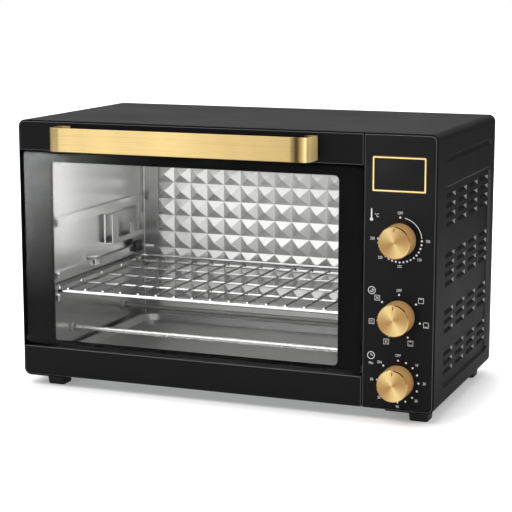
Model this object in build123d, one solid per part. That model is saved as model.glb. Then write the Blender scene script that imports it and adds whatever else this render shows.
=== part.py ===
from build123d import *
import os

# Countertop electric oven with a drop-down glass door, a wire rack, a crumb tray and three dials.
# Millimetres. While it is built, x runs to the right as seen from the front, y runs from the
# cabinet's front plane to the back, and z is measured up from the cabinet's underside.
# save() then moves every piece so that the origin is the bottom centre of the whole oven.

# Cabinet
BODY_WIDTH = 550.0
BODY_HEIGHT = 333.0
BODY_DEPTH = 290.0
SHEET = 1.0
CORNER_RADIUS = 9.0
EDGE_ROUND = 0.8
REAR_RIM = 9.0
REAR_EDGE = 4.0
SEAM = 0.8
REAR_LIP = 7.0
FIT = 0.3
RETURN_WIDTH = 60.0
WRAPPER_END = BODY_DEPTH - REAR_RIM

# Front of the cabinet. The control panel fills the right end, and the door fills the rest.
TRIM_GAP = 0.8
TRIM_INSET = SHEET + TRIM_GAP
TRIM_WALL = 2.0
TRIM_PROUD = 0.5
TRIM_ROUND = 1.2
PANEL_WIDTH = 88.4
PANEL_LEFT = BODY_WIDTH / 2 - PANEL_WIDTH
PANEL_PROUD = 1.0
DOOR_RIGHT = PANEL_LEFT - 1.8
STRIP_TOP = 39.2
TOP_TRIM_LOW = BODY_HEIGHT - 38.5
TOP_TRIM_BACK = 12.0
FRAME_FRONT = 14.4
FRAME_SHEET = 1.2
FRAME_FLANGE = 6.0
FRAME_SILL = STRIP_TOP + 0.8
FRAME_HEAD = BODY_HEIGHT - 41.0

# Oven cavity
CAVITY_LEFT = 40.0 - BODY_WIDTH / 2
CAVITY_RIGHT = PANEL_LEFT - 14.6
CAVITY_FLOOR = 24.0
CAVITY_TOP = BODY_HEIGHT - 33.0
CAVITY_FRONT = FRAME_FRONT + FRAME_SHEET
CAVITY_BACK = BODY_DEPTH - 10.0
CAVITY_MIDDLE = (CAVITY_LEFT + CAVITY_RIGHT) / 2
LINER = 0.8
BACK_FLANGE = 8.0
RUNNER_DEPTH = 5.0
RUNNER_SLOPE = 1.2
RUNNER_RADIUS = 4.0
RUNNERS = ((94.0, 108.0), (125.0, 136.0), (193.0, 207.0))
RUNNER_FRONT = CAVITY_FRONT + 1.0
RUNNER_BACK = CAVITY_BACK - BACK_FLANGE - 1.0
PYRAMID_WIDTH = 25.5
PYRAMID_HEIGHT = 23.6
PYRAMID_RISE = 7.0
PYRAMID_MARGIN = 25.0
PYRAMID_LOW = 57.5
PYRAMID_HIGH = CAVITY_TOP - 6.5
PYRAMID_COLUMNS = round((CAVITY_RIGHT - CAVITY_LEFT - 2 * PYRAMID_MARGIN) / PYRAMID_WIDTH)
PYRAMID_ROWS = round((PYRAMID_HIGH - PYRAMID_LOW) / PYRAMID_HEIGHT)

# Pressed panels and louvres in the cabinet's sides
DISH_FRONT = 36.0
DISH_BACK = BODY_DEPTH - 22.0
DISH_LOW = 21.6
DISH_HIGH = BODY_HEIGHT - 64.6
DISH_RADIUS = 12.0
DISH_DEPTH = 3.0
DISH_SLOPE = 3.0
BEAD_FRONT = DISH_FRONT + 3.0
BEAD_BACK = DISH_BACK - 5.0
BEAD_LOW = BODY_HEIGHT - 37.0
BEAD_HEIGHT = 8.0
BEAD_DEPTH = 2.0
BEAD_SLOPE = 1.5
LOUVRE_COLUMNS = 4
LOUVRE_START = DISH_FRONT + 16.0
LOUVRE_BRIDGE = 13.0
LOUVRE_PITCH = (BEAD_BACK - LOUVRE_START + LOUVRE_BRIDGE) / LOUVRE_COLUMNS
LOUVRE_LENGTH = LOUVRE_PITCH - LOUVRE_BRIDGE
LOUVRE_ROW = 11.5
LOUVRE_RISE = 3.2
LOUVRE_DROP = 3.8
LOUVRE_DEPTH = 5.0
LOUVRE_NOSE = 0.4
LOUVRE_TIP = 0.3
LOUVRE_ROOT = 0.5
LOUVRE_GROUPS = ((4, 0.94), (4, 0.648), (3, 0.368), (3, 0.162))

# Back cover
BACK_DISH_WIDTH = 350.0
BACK_DISH_HEIGHT = BODY_HEIGHT - 113.0
BACK_DISH_X = CAVITY_MIDDLE - 8.5
BACK_DISH_Z = BODY_HEIGHT / 2
BACK_VENT_LENGTH = 24.0
BACK_VENT_HEIGHT = 4.0
BACK_VENT_ROWS = 14
BACK_VENT_ROW = 13.0
BACK_VENT_COLUMN = 32.0
BACK_VENT_Z = BODY_HEIGHT / 2 + 18.5
PAN_VENT_LENGTH = 28.0
PAN_VENT_ROW = 40.0
PAN_VENT_COLUMN = 12.0
SCREW_HEAD = 3.6
SCREW_HEAD_HEIGHT = 2.0
SCREW_SHANK = 1.75
SCREW_LENGTH = 7.0
SCREW_CLEARANCE = 0.1
BACK_SCREW_INSET = 27.0
GLAND_X = BODY_WIDTH / 2 - 43.0
GLAND_Z = 42.0
GLAND_RADIUS = 8.0
GLAND_FLANGE = 11.0
GLAND_FLANGE_THICK = 3.0
GLAND_INSIDE = 6.0
GLAND_OUT = 8.0
GLAND_BORE = 3.75

# Feet
FOOT_HEIGHT = 13.0
FOOT_SIDE = 26.0
FOOT_TAPER = 1.5
FOOT_LEFT_X = 39.0 - BODY_WIDTH / 2
FOOT_RIGHT_X = BODY_WIDTH / 2 - 22.0
FOOT_FRONT_Y = 24.0
FOOT_BACK_Y = BODY_DEPTH - 38.0
FOOT_PLUG = 4.0
FOOT_PLUG_SHIFT = 4.0
FOOT_ENDS = ((FOOT_FRONT_Y, FOOT_FRONT_Y + FOOT_PLUG_SHIFT), (FOOT_BACK_Y, FOOT_BACK_Y - FOOT_PLUG_SHIFT))
FOOT_SPOTS = tuple((x, *ends) for x in (FOOT_LEFT_X, FOOT_RIGHT_X) for ends in FOOT_ENDS)

# Door
GLASS_LEFT = 5.5 - BODY_WIDTH / 2
GLASS_RIGHT = DOOR_RIGHT - 0.8
GLASS_BOTTOM = STRIP_TOP + 4.5
GLASS_TOP = TOP_TRIM_LOW - 3.0
GLASS_FRONT = 1.0
GLASS_THICK = 4.0
GLASS_BACK = GLASS_FRONT + GLASS_THICK
WINDOW_LEFT = GLASS_LEFT + 37.0
WINDOW_RIGHT = GLASS_RIGHT - 30.5
WINDOW_LOW = GLASS_BOTTOM + 5.1
WINDOW_HIGH = GLASS_TOP - 11.5
WINDOW_RADIUS = 6.0
DOOR_SHEET = 1.0
SHEET_FRONT = GLASS_BACK + 0.1
SHEET_BACK = SHEET_FRONT + DOOR_SHEET
DOOR_FLANGE_END = 13.8
DOOR_FRAME_RIGHT = GLASS_RIGHT - 2.0
DOOR_FRAME_TOP = BODY_HEIGHT - 8.0
HINGE_Y = 8.2
HINGE_ABOVE_GLASS_EDGE = 4.5
HINGE_Z = GLASS_BOTTOM + HINGE_ABOVE_GLASS_EDGE
HINGE_PIN = 2.0
PIN_CLEARANCE = 0.05
HINGE_EAR = 5.5
HINGE_EAR_THICK = 1.8

# Handle
HANDLE_LEFT = GLASS_LEFT + 53.5
HANDLE_RIGHT = DOOR_RIGHT - 56.8
HANDLE_LOW = TOP_TRIM_LOW + 3.0
HANDLE_HEIGHT = 29.5
HANDLE_REACH = 30.5
HANDLE_STRAP = 2.2
HANDLE_BEND = 7.0
HANDLE_FOOT = 16.0
HANDLE_SCREW_INSET = 9.0
HANDLE_SCREW_SPREAD = 15.0
HANDLE_SCREW = 2.0
HANDLE_SCREW_HEAD = 3.8
HANDLE_SCREW_HEAD_HEIGHT = 2.2
HANDLE_BOSS = 4.5
HANDLE_SCREWS = tuple(
    (x, HANDLE_LOW + HANDLE_HEIGHT / 2 + side * HANDLE_SCREW_SPREAD / 2)
    for x in (HANDLE_LEFT + HANDLE_SCREW_INSET, HANDLE_RIGHT - HANDLE_SCREW_INSET)
    for side in (-1, 1)
)

# Display and dials
DISPLAY_LEFT = PANEL_LEFT + 9.4
DISPLAY_RIGHT = BODY_WIDTH / 2 - 13.0
DISPLAY_HIGH = BODY_HEIGHT - 26.6
DISPLAY_LOW = DISPLAY_HIGH - 42.4
BEZEL_WIDTH = 2.8
BEZEL_LIP = 1.2
BEZEL_PROUD = 0.8
BEZEL_RADIUS = 3.0
BOARD_STAND = 5.0
BOARD_THICK = 1.6
CHIP_SIDE = 16.0
CHIP_THICK = 2.0
DIAL_X = PANEL_LEFT + PANEL_WIDTH / 2
TIMER_Z = 37.6
TEMPERATURE_Z = DISPLAY_LOW - 55.7
FUNCTION_Z = TIMER_Z + 0.46 * (TEMPERATURE_Z - TIMER_Z)
DIAL_HEIGHTS = (TEMPERATURE_Z, FUNCTION_Z, TIMER_Z)
KNOB_RADIUS = 19.2
KNOB_BASE_RADIUS = 19.8
KNOB_LENGTH = 25.0
KNOB_GAP = 0.8
KNOB_SKIN = 2.0
KNOB_HUB = 6.0
SHAFT_RADIUS = 3.0
SHAFT_BITE = 12.0
SHAFT_FLAT = 2.0
KNOB_BEVEL = 1.0
INDEX_WIDTH = 1.2
INDEX_DEPTH = 0.4
THERMOSTAT_BORE = 8.0
THERMOSTAT_CAN = 15.0
THERMOSTAT_CAN_DEPTH = 10.0
THERMOSTAT_WIDTH = 22.0
THERMOSTAT_HEIGHT = 36.0
THERMOSTAT_BLOCK_DEPTH = 10.0
BLADE_WIDTH = 6.0
BLADE_THICK = 0.8
BLADE_LENGTH = 10.0
SWITCH_BORE = 14.0
SWITCH_RADIUS = 19.0
SWITCH_DEPTH = 24.0
SWITCH_BLADES = 6
TIMER_BORE = 12.0
TIMER_SIDE = 48.0
TIMER_THICK = 22.0
TIMER_STUD = 3.0
BELL_RADIUS = 15.0
BELL_DEPTH = 10.0
BELL_STAND = 4.0
BELL_POST = 3.0

# Heating elements
HEATER_RADIUS = 3.25
HEATER_FRONT_Y = 62.0
HEATER_BACK_Y = CAVITY_BACK - 65.0
HEATER_LOW_Z = CAVITY_FLOOR + 30.0
HEATER_HIGH_Z = CAVITY_TOP - 13.0
HEATER_SPOTS = tuple((y, z) for z in (HEATER_LOW_Z, HEATER_HIGH_Z) for y in (HEATER_FRONT_Y, HEATER_BACK_Y))
HEATER_TAIL = 14.0
TERMINAL_RADIUS = 1.5
TERMINAL_LENGTH = 7.0
BUSH_RADIUS = 6.5
BUSH_NECK = 4.6
BUSH_INSIDE = 4.0
BUSH_OUTSIDE = 5.0

# Spit bracket and drive
BRACKET_BACK = CAVITY_BACK - 22.0
BRACKET_FRONT = BRACKET_BACK - 98.0
BRACKET_LOW = 150.0
BRACKET_HIGH = BRACKET_LOW + 40.0
BRACKET_STAND = 12.0
BRACKET_SHEET = 1.2
POCKET_FLOOR = BRACKET_LOW + 7.0
POCKET_FRONT = (BRACKET_FRONT + 19.0, BRACKET_FRONT + 56.0)
POCKET_BACK = (BRACKET_FRONT + 66.0, BRACKET_FRONT + 94.0)
TONGUE_TOP = BRACKET_LOW + 23.0
SPIT_Y = (POCKET_FRONT[0] + POCKET_FRONT[1]) / 2
SPIT_Z = POCKET_FLOOR + 4.0
COUPLING_RADIUS = 8.0
COUPLING_SOCKET = 6.5
COUPLING_REACH = 9.0
MOTOR_WIDTH = 58.0
MOTOR_HEIGHT = 50.0
MOTOR_THICK = 20.0

# Stop and temperature sensor on the left wall
STOP_FRONT = CAVITY_FRONT + 100.0
STOP_WIDTH = 12.0
STOP_LOW = 128.0
STOP_HEIGHT = 13.5
STOP_STEM = 1.2
STOP_STEM_Z = 138.5
STOP_STAND = 7.0
SENSOR_Y = CAVITY_BACK - 28.0
SENSOR_Z = 134.5
SENSOR_RADIUS = 2.5
SENSOR_LENGTH = 25.0
CLIP_SHEET = 1.0
CLIP_STAND = 5.0
CLIP_FRONT = SENSOR_Y - 16.0
CLIP_BACK = SENSOR_Y + 5.0
CLIP_LOW = 127.0
CLIP_HIGH = 142.0

# Wire rack
RACK_SIDE_GAP = 2.0
RACK_FRONT_Y = CAVITY_FRONT + 4.4
RACK_BACK_GAP = 6.0
RACK_RAIL = 2.5
RACK_GUARD = 2.0
RACK_WIRE = 1.3
RACK_CROSS = 1.5
RACK_POST = 1.2
RACK_WELD = 0.6
RACK_EDGE = 12.5
RACK_WIRES = 16
RACK_CROSS_WIRES = 3
GUARD_RISE = 7.0
GUARD_BEND = 12.0

# Crumb tray
TRAY_SIDE_GAP = 7.0
TRAY_FRONT_Y = CAVITY_FRONT + 4.4
TRAY_BACK_Y = CAVITY_BACK - 10.0
TRAY_HEIGHT = 9.0
TRAY_RADIUS = 28.0
TRAY_DRAFT = 4.0
TRAY_RIM = 4.0
TRAY_SHEET = 0.8

# The whole oven reaches from the handle's front to the gland's end.
FRONT_MOST = -(HANDLE_REACH + TRIM_PROUD)
REAR_MOST = BODY_DEPTH + GLAND_OUT
PLACE = Pos(0, -(FRONT_MOST + REAR_MOST) / 2, FOOT_HEIGHT)


# Drawing helpers
def rect(left, right, low, high, radius=0.0):
    """A rectangle given by its four sides, with rounded corners where a radius is given."""
    middle = Pos((left + right) / 2, (low + high) / 2)
    if radius > 0:
        return middle * RectangleRounded(right - left, high - low, radius)
    return middle * Rectangle(right - left, high - low)


def slab(outline, y0, y1):
    """An outline drawn in x and z, given depth from y0 back to y1."""
    return extrude(Plane.XZ.offset(-y0) * outline, y1 - y0, dir=(0, 1, 0))


def wall(outline, x0, x1):
    """An outline drawn in y and z, given thickness from x0 to x1."""
    return extrude(Plane.YZ.offset(x0) * outline, x1 - x0, dir=(1, 0, 0))


def layer(outline, z0, z1):
    """An outline drawn in x and y, given height from z0 to z1."""
    return extrude(Plane.XY.offset(z0) * outline, z1 - z0, dir=(0, 0, 1))


def rod_x(y, z, radius, x0, x1):
    return wall(Pos(y, z) * Circle(radius), x0, x1)


def rod_y(x, z, radius, y0, y1):
    return slab(Pos(x, z) * Circle(radius), y0, y1)


def rod_z(x, y, radius, z0, z1):
    return layer(Pos(x, y) * Circle(radius), z0, z1)


def cabinet_outline(inset):
    """The cabinet's front outline, moved inwards by the inset."""
    outline = RectangleRounded(BODY_WIDTH - 2 * inset, BODY_HEIGHT - 2 * inset, CORNER_RADIUS - inset)
    return Pos(0, BODY_HEIGHT / 2) * outline


def press(body, plane, length, height, radius, depth, slope, thick):
    """Presses a shallow dish into sheet metal, along the plane's normal, with sloping sides."""

    def form(lift, grow):
        wide = RectangleRounded(length + 2 * grow, height + 2 * grow, radius + grow)
        narrow_by = 2 * (grow - slope)
        narrow = RectangleRounded(length + narrow_by, height + narrow_by, radius + grow - slope)
        low = plane.offset(lift)
        return loft([low * wide, low.offset(depth) * narrow])

    return body + form(thick, thick) - form(0, 0)


def moulding(outline, front, back):
    """A hollow front moulding, open at the back, with its front edge rounded."""
    block = slab(outline, front, back)
    block = fillet(block.faces().sort_by(Axis.Y)[0].edges(), TRIM_ROUND)
    return block - slab(offset(outline, amount=-TRIM_WALL), front + TRIM_WALL, back)


# Cabinet shell
def side_plane(side, y, z):
    """A plane on the cabinet's side whose normal points into the cabinet. side is 1 or -1."""
    return Plane(origin=(side * BODY_WIDTH / 2, y, z), x_dir=(0, 1, 0), z_dir=(-side, 0, 0))


def louvre_spots():
    """The front end and the height of every louvre."""
    starts = [LOUVRE_START + LOUVRE_PITCH * column for column in range(LOUVRE_COLUMNS)]
    tops = [(rows, DISH_LOW + share * (DISH_HIGH - DISH_LOW)) for rows, share in LOUVRE_GROUPS]
    heights = [top - LOUVRE_ROW * row for rows, top in tops for row in range(rows)]
    return [(y, z) for y in starts for z in heights]


def louvre_hood():
    """One louvre pressed inwards from the dish: a slope with closed ends, open along its top."""
    face = BODY_WIDTH / 2 - DISH_DEPTH
    nose = face - LOUVRE_DEPTH
    lip = 1.3 * SHEET
    rise, drop = LOUVRE_RISE, -LOUVRE_DROP
    outside = Polygon(
        (face, drop), (face, rise - LOUVRE_TIP), (nose, LOUVRE_NOSE + lip), (nose, LOUVRE_NOSE), align=None
    )
    above = Polygon(
        (face, drop + lip), (face, rise + lip), (nose - lip, rise + lip), (nose - lip, LOUVRE_NOSE + lip),
        (nose, LOUVRE_NOSE + lip), align=None,
    )
    return slab(outside, 0, LOUVRE_LENGTH) - slab(above, SHEET, LOUVRE_LENGTH - SHEET)


def wrapper():
    """The top and both sides, bent from one sheet, with narrow returns under the cabinet."""
    block = slab(cabinet_outline(0), 0, WRAPPER_END)
    block = fillet(block.faces().sort_by(Axis.Y)[0].edges(), EDGE_ROUND)
    mouth = BODY_WIDTH / 2 - RETURN_WIDTH
    shell = block - slab(cabinet_outline(SHEET), 0, WRAPPER_END)
    shell = shell - slab(rect(-mouth, mouth, -SHEET, 2 * SHEET), 0, WRAPPER_END)
    dish_y = (DISH_FRONT + DISH_BACK) / 2
    dish_z = (DISH_LOW + DISH_HIGH) / 2
    bead_y = (BEAD_FRONT + BEAD_BACK) / 2
    bead_z = BEAD_LOW + BEAD_HEIGHT / 2
    bead_radius = BEAD_HEIGHT / 2 - 0.1
    for side in (-1, 1):
        shell = press(
            shell, side_plane(side, dish_y, dish_z), DISH_BACK - DISH_FRONT, DISH_HIGH - DISH_LOW,
            DISH_RADIUS, DISH_DEPTH, DISH_SLOPE, SHEET,
        )
        shell = press(
            shell, side_plane(side, bead_y, bead_z), BEAD_BACK - BEAD_FRONT, BEAD_HEIGHT,
            bead_radius, BEAD_DEPTH, BEAD_SLOPE, SHEET,
        )
    face = BODY_WIDTH / 2 - DISH_DEPTH
    holes = [
        wall(rect(y, y + LOUVRE_LENGTH, z - LOUVRE_DROP + LOUVRE_ROOT, z + LOUVRE_RISE), face - SHEET, face)
        for y, z in louvre_spots()
    ]
    hood = louvre_hood()
    shell = shell - holes + [Pos(0, y, z) * hood for y, z in louvre_spots()]
    return shell - foot_plug_holes()


def back_screw_spots():
    """Screws round the back cover, inside its rounded rim."""
    inset = BACK_SCREW_INSET
    low, high = inset, BODY_HEIGHT - inset
    left, right = -BODY_WIDTH / 2 + 0.6 * inset, BODY_WIDTH / 2 - 0.6 * inset
    sides = [(x, z) for x in (left, right) for z in (low, BODY_HEIGHT / 2, high)]
    return sides + [(x, BODY_HEIGHT - 0.6 * inset) for x in (left / 2, 0, right / 2)]


def back_cover():
    """The back cover with its rolled rim, a pressed field, vent slots and the cord's gland hole."""
    rim = slab(cabinet_outline(0), WRAPPER_END + SEAM, BODY_DEPTH)
    rim = fillet(rim.faces().sort_by(Axis.Y)[-1].edges(), REAR_EDGE)
    lip = slab(cabinet_outline(SHEET + FIT), WRAPPER_END - REAR_LIP, WRAPPER_END + SEAM)
    inside = slab(cabinet_outline(2 * SHEET + FIT), WRAPPER_END - REAR_LIP, BODY_DEPTH - SHEET)
    cover = rim + lip - inside
    field = Plane(origin=(BACK_DISH_X, BODY_DEPTH, BACK_DISH_Z), x_dir=(-1, 0, 0), z_dir=(0, -1, 0))
    cover = press(
        cover, field, BACK_DISH_WIDTH, BACK_DISH_HEIGHT, DISH_RADIUS, DISH_DEPTH, DISH_SLOPE, SHEET
    )
    slots = Pos(DIAL_X - 4, BACK_VENT_Z) * GridLocations(BACK_VENT_COLUMN, BACK_VENT_ROW, 2, BACK_VENT_ROWS)
    vent = SlotOverall(BACK_VENT_LENGTH, BACK_VENT_HEIGHT)
    cover = cover - slab(Sketch() + [spot * vent for spot in slots], BODY_DEPTH - 2 * SHEET, BODY_DEPTH)
    through = (BODY_DEPTH - 2 * SHEET, BODY_DEPTH)
    screws = [rod_y(x, z, SCREW_SHANK + SCREW_CLEARANCE, *through) for x, z in back_screw_spots()]
    gland = rod_y(GLAND_X, GLAND_Z, GLAND_RADIUS + SCREW_CLEARANCE, *through)
    return cover - screws - gland


def case_screws():
    """Pan-head screws that hold the back cover."""
    screws = []
    for x, z in back_screw_spots():
        head = rod_y(x, z, SCREW_HEAD, BODY_DEPTH, BODY_DEPTH + SCREW_HEAD_HEIGHT)
        head = fillet(head.faces().sort_by(Axis.Y)[-1].edges(), SCREW_HEAD_HEIGHT * 0.6)
        screws.append(head + rod_y(x, z, SCREW_SHANK, BODY_DEPTH - SCREW_LENGTH, BODY_DEPTH))
    return screws


def cord_gland():
    """The flanged bush in the back cover that the supply cord would leave through."""
    bush = rod_y(GLAND_X, GLAND_Z, GLAND_FLANGE, BODY_DEPTH, BODY_DEPTH + GLAND_FLANGE_THICK)
    bush = bush + rod_y(GLAND_X, GLAND_Z, GLAND_RADIUS, BODY_DEPTH - GLAND_INSIDE, BODY_DEPTH + GLAND_OUT)
    bush = chamfer(bush.faces().sort_by(Axis.Y)[-1].edges(), 1.5)
    return bush - rod_y(GLAND_X, GLAND_Z, GLAND_BORE, BODY_DEPTH - GLAND_INSIDE, BODY_DEPTH + GLAND_OUT)


def base_pan():
    """The bottom sheet, resting on the wrapper's returns, with air slots below the controls."""
    half = BODY_WIDTH / 2 - CORNER_RADIUS
    front = CAVITY_FRONT + FRAME_FLANGE
    back = WRAPPER_END - REAR_LIP - FIT
    pan = layer(rect(-half, half, front, back), SHEET, 2 * SHEET)
    for y in (front, back - SHEET):
        pan = pan + layer(rect(-half, half, y, y + SHEET), SHEET, 8 * SHEET)
    vent_x = (CAVITY_RIGHT + LINER + BODY_WIDTH / 2 - RETURN_WIDTH) / 2
    slots = Pos(vent_x, (front + back) / 2) * GridLocations(PAN_VENT_COLUMN, PAN_VENT_ROW, 3, 5)
    vent = Rot(0, 0, 90) * SlotOverall(PAN_VENT_LENGTH, BACK_VENT_HEIGHT)
    pan = pan - layer(Sketch() + [spot * vent for spot in slots], SHEET, 2 * SHEET)
    return pan - foot_plug_holes()


def foot_plug_holes():
    return [rod_z(x, plug, FOOT_PLUG + FIT / 2, -SHEET, 3 * SHEET) for x, _, plug in FOOT_SPOTS]


def feet():
    """Four moulded feet, each plugged through the wrapper's return and the base pan."""
    made = []
    for x, y, plug in FOOT_SPOTS:
        top = Pos(x, y) * RectangleRounded(FOOT_SIDE, FOOT_SIDE, 5)
        sole = Pos(x, y) * RectangleRounded(FOOT_SIDE - 2 * FOOT_TAPER, FOOT_SIDE - 2 * FOOT_TAPER, 4)
        foot = loft([Plane.XY.offset(-FOOT_HEIGHT) * sole, Plane.XY * top])
        foot = fillet(foot.faces().sort_by(Axis.Z)[0].edges(), 1.5)
        made.append(foot + rod_z(x, plug, FOOT_PLUG, 0, 4 * SHEET))
    return made


# Front of the cabinet
def front_frame():
    """The sheet frame behind the door and the control panel, with the cavity's opening."""
    plate = slab(cabinet_outline(SHEET + FIT), FRAME_FRONT, CAVITY_FRONT)
    flange = cabinet_outline(SHEET + FIT) - cabinet_outline(2 * SHEET + FIT)
    plate = plate + slab(flange, CAVITY_FRONT, CAVITY_FRONT + FRAME_FLANGE - FIT)
    opening = rect(CAVITY_LEFT, CAVITY_RIGHT, FRAME_SILL, FRAME_HEAD, 4)
    plate = plate - slab(opening, FRAME_FRONT, CAVITY_FRONT)
    shafts = [rod_y(DIAL_X, z, SHAFT_RADIUS + 1, FRAME_FRONT, CAVITY_FRONT) for z in DIAL_HEIGHTS]
    return plate - shafts


def lower_strip():
    """The fixed trim below the door."""
    outline = cabinet_outline(TRIM_INSET) & rect(-BODY_WIDTH, DOOR_RIGHT, 0, STRIP_TOP)
    return moulding(outline, -TRIM_PROUD, FRAME_FRONT)


def display_hole(grow):
    margin = BEZEL_WIDTH - BEZEL_LIP - grow
    return rect(
        DISPLAY_LEFT + margin, DISPLAY_RIGHT - margin, DISPLAY_LOW + margin, DISPLAY_HIGH - margin, 2.0
    )


def board_outline():
    return rect(DISPLAY_LEFT - 2, DISPLAY_RIGHT + 2, DISPLAY_LOW - 2, DISPLAY_HIGH + 2, 2)


def control_panel():
    """The moulded fascia beside the door, with the display's hole and three shaft holes."""
    outline = cabinet_outline(TRIM_INSET) & rect(PANEL_LEFT, BODY_WIDTH, 0, BODY_HEIGHT)
    panel = moulding(outline, -PANEL_PROUD, FRAME_FRONT)
    back = TRIM_WALL - PANEL_PROUD
    panel = panel - slab(display_hole(0), -PANEL_PROUD, back)
    panel = panel - [rod_y(DIAL_X, z, SHAFT_RADIUS + 1, -PANEL_PROUD, back) for z in DIAL_HEIGHTS]
    pegs = [
        rod_y(x, z, 1.5, back, BOARD_STAND)
        for x in (DISPLAY_LEFT, DISPLAY_RIGHT) for z in (DISPLAY_LOW, DISPLAY_HIGH)
    ]
    return panel + pegs


def display_bezel():
    """The gold frame of the display, with a spigot in the fascia's hole."""
    face = rect(DISPLAY_LEFT, DISPLAY_RIGHT, DISPLAY_LOW, DISPLAY_HIGH, BEZEL_RADIUS)
    ring = slab(face, -PANEL_PROUD - BEZEL_PROUD, -PANEL_PROUD)
    ring = fillet(ring.faces().sort_by(Axis.Y)[0].edges(), 0.4)
    ring = ring + slab(display_hole(-0.1), -PANEL_PROUD, TRIM_WALL - PANEL_PROUD)
    return ring - slab(display_hole(-BEZEL_LIP), -PANEL_PROUD - BEZEL_PROUD, TRIM_WALL - PANEL_PROUD)


def display_window():
    """The dark pane of the display."""
    return slab(display_hole(-BEZEL_LIP - 0.1), -PANEL_PROUD - 0.3, TRIM_WALL - PANEL_PROUD)


def display_board():
    """The circuit board of the display, on the fascia's four pegs, with its lamp block in front."""
    board = slab(board_outline(), BOARD_STAND, BOARD_STAND + BOARD_THICK)
    block = slab(display_hole(-3), TRIM_WALL - PANEL_PROUD + 0.2, BOARD_STAND)
    back = BOARD_STAND + BOARD_THICK
    middle = (DISPLAY_LOW + DISPLAY_HIGH) / 2
    chip = slab(Pos(DIAL_X, middle) * Rectangle(CHIP_SIDE, CHIP_SIDE), back, back + CHIP_THICK)
    return board + block + chip


# Door
def window_outline():
    return rect(WINDOW_LEFT, WINDOW_RIGHT, WINDOW_LOW, WINDOW_HIGH, WINDOW_RADIUS)


def door_glass():
    """The door's toughened pane, with its edges ground."""
    pane = slab(rect(GLASS_LEFT, GLASS_RIGHT, GLASS_BOTTOM, GLASS_TOP, 2), GLASS_FRONT, GLASS_BACK)
    return chamfer(pane.faces().sort_by(Axis.Y)[0].edges(), 0.6)


def door_frame():
    """The door's inner sheet: it frames the window, holds the glass and carries trim and pins."""
    left, right, top = GLASS_LEFT, DOOR_FRAME_RIGHT, DOOR_FRAME_TOP
    sheet = slab(rect(left, right, GLASS_BOTTOM, top) - window_outline(), SHEET_FRONT, SHEET_BACK)
    low = HINGE_Z - 4.0
    corner = (DOOR_FLANGE_END - 3, low)
    side = Polygon(
        (SHEET_BACK, low), corner, (DOOR_FLANGE_END, low + 3), (DOOR_FLANGE_END, TOP_TRIM_LOW),
        (TOP_TRIM_BACK, TOP_TRIM_LOW + 4), (TOP_TRIM_BACK, top), (SHEET_BACK, top), align=None,
    )
    flanges = wall(side, left, left + DOOR_SHEET) + wall(side, right - DOOR_SHEET, right)
    sheet = sheet + flanges + slab(rect(left, right, top - DOOR_SHEET, top), SHEET_BACK, TOP_TRIM_BACK)
    pins = rod_x(HINGE_Y, HINGE_Z, HINGE_PIN + PIN_CLEARANCE, left - 1, right + 1)
    return sheet - pins - handle_screw_holes()


def handle_screw_holes():
    reach = (FRONT_MOST / 2, FRAME_FRONT)
    return [rod_y(x, z, HANDLE_SCREW + SCREW_CLEARANCE, *reach) for x, z in HANDLE_SCREWS]


def door_top_trim():
    """The black moulding across the top of the door, with bosses that meet the door's sheet."""
    outline = cabinet_outline(TRIM_INSET) & rect(-BODY_WIDTH, DOOR_RIGHT, TOP_TRIM_LOW, BODY_HEIGHT)
    trim = moulding(outline, -TRIM_PROUD, TOP_TRIM_BACK)
    lip_top = TOP_TRIM_LOW + TRIM_WALL + 1
    behind_glass = rect(GLASS_LEFT - FIT, DOOR_FRAME_RIGHT + FIT, TOP_TRIM_LOW - 1, lip_top)
    trim = trim - slab(behind_glass, SHEET_FRONT - FIT, TOP_TRIM_BACK)
    bosses = [rod_y(x, z, HANDLE_BOSS, TRIM_WALL - TRIM_PROUD, SHEET_FRONT) for x, z in HANDLE_SCREWS]
    return trim + bosses - handle_screw_holes()


def door_handle():
    """The flat strap handle, bent back at both ends, with feet turned in on the trim."""
    front, face = FRONT_MOST, -TRIM_PROUD
    outer = rect(HANDLE_LEFT, HANDLE_RIGHT, front, face + HANDLE_BEND)
    outer = outer - rect(HANDLE_LEFT, HANDLE_RIGHT, face, face + 2 * HANDLE_BEND)
    outer = fillet(outer.vertices().group_by(Axis.Y)[0], HANDLE_BEND)
    strap, foot = HANDLE_STRAP, HANDLE_FOOT
    inner = rect(HANDLE_LEFT + strap, HANDLE_RIGHT - strap, front + strap, face - strap)
    inner = fillet(inner.vertices().group_by(Axis.Y)[0], HANDLE_BEND - strap)
    gap = rect(HANDLE_LEFT + foot, HANDLE_RIGHT - foot, face - 2 * strap, face)
    top = HANDLE_LOW + HANDLE_HEIGHT
    bar = layer(outer - inner - gap, HANDLE_LOW, top)
    rims = bar.edges().filter_by(lambda edge: edge.center().Y < face - 4 * strap)
    rims = rims.filter_by(GeomType.LINE).filter_by(Axis.X)
    bar = chamfer(rims.filter_by(lambda edge: edge.center().Y < front + strap / 2), 0.4)
    return bar - handle_screw_holes()


def handle_screws():
    """Four screws from inside the door, through sheet and trim into the handle's feet."""
    made = []
    for x, z in HANDLE_SCREWS:
        head = rod_y(x, z, HANDLE_SCREW_HEAD, SHEET_BACK, SHEET_BACK + HANDLE_SCREW_HEAD_HEIGHT)
        made.append(head + rod_y(x, z, HANDLE_SCREW, -TRIM_PROUD - HANDLE_STRAP, SHEET_BACK))
    return made


def hinge_ends():
    """For each side: the flange's outer face, the ear's two faces, and which way is out."""
    left_face, right_face = GLASS_LEFT, DOOR_FRAME_RIGHT
    left_ear = GLASS_LEFT - 0.7 - HINGE_EAR_THICK
    right_ear = GLASS_RIGHT + FIT
    return ((left_face, left_ear, -1), (right_face, right_ear, 1))


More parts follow.
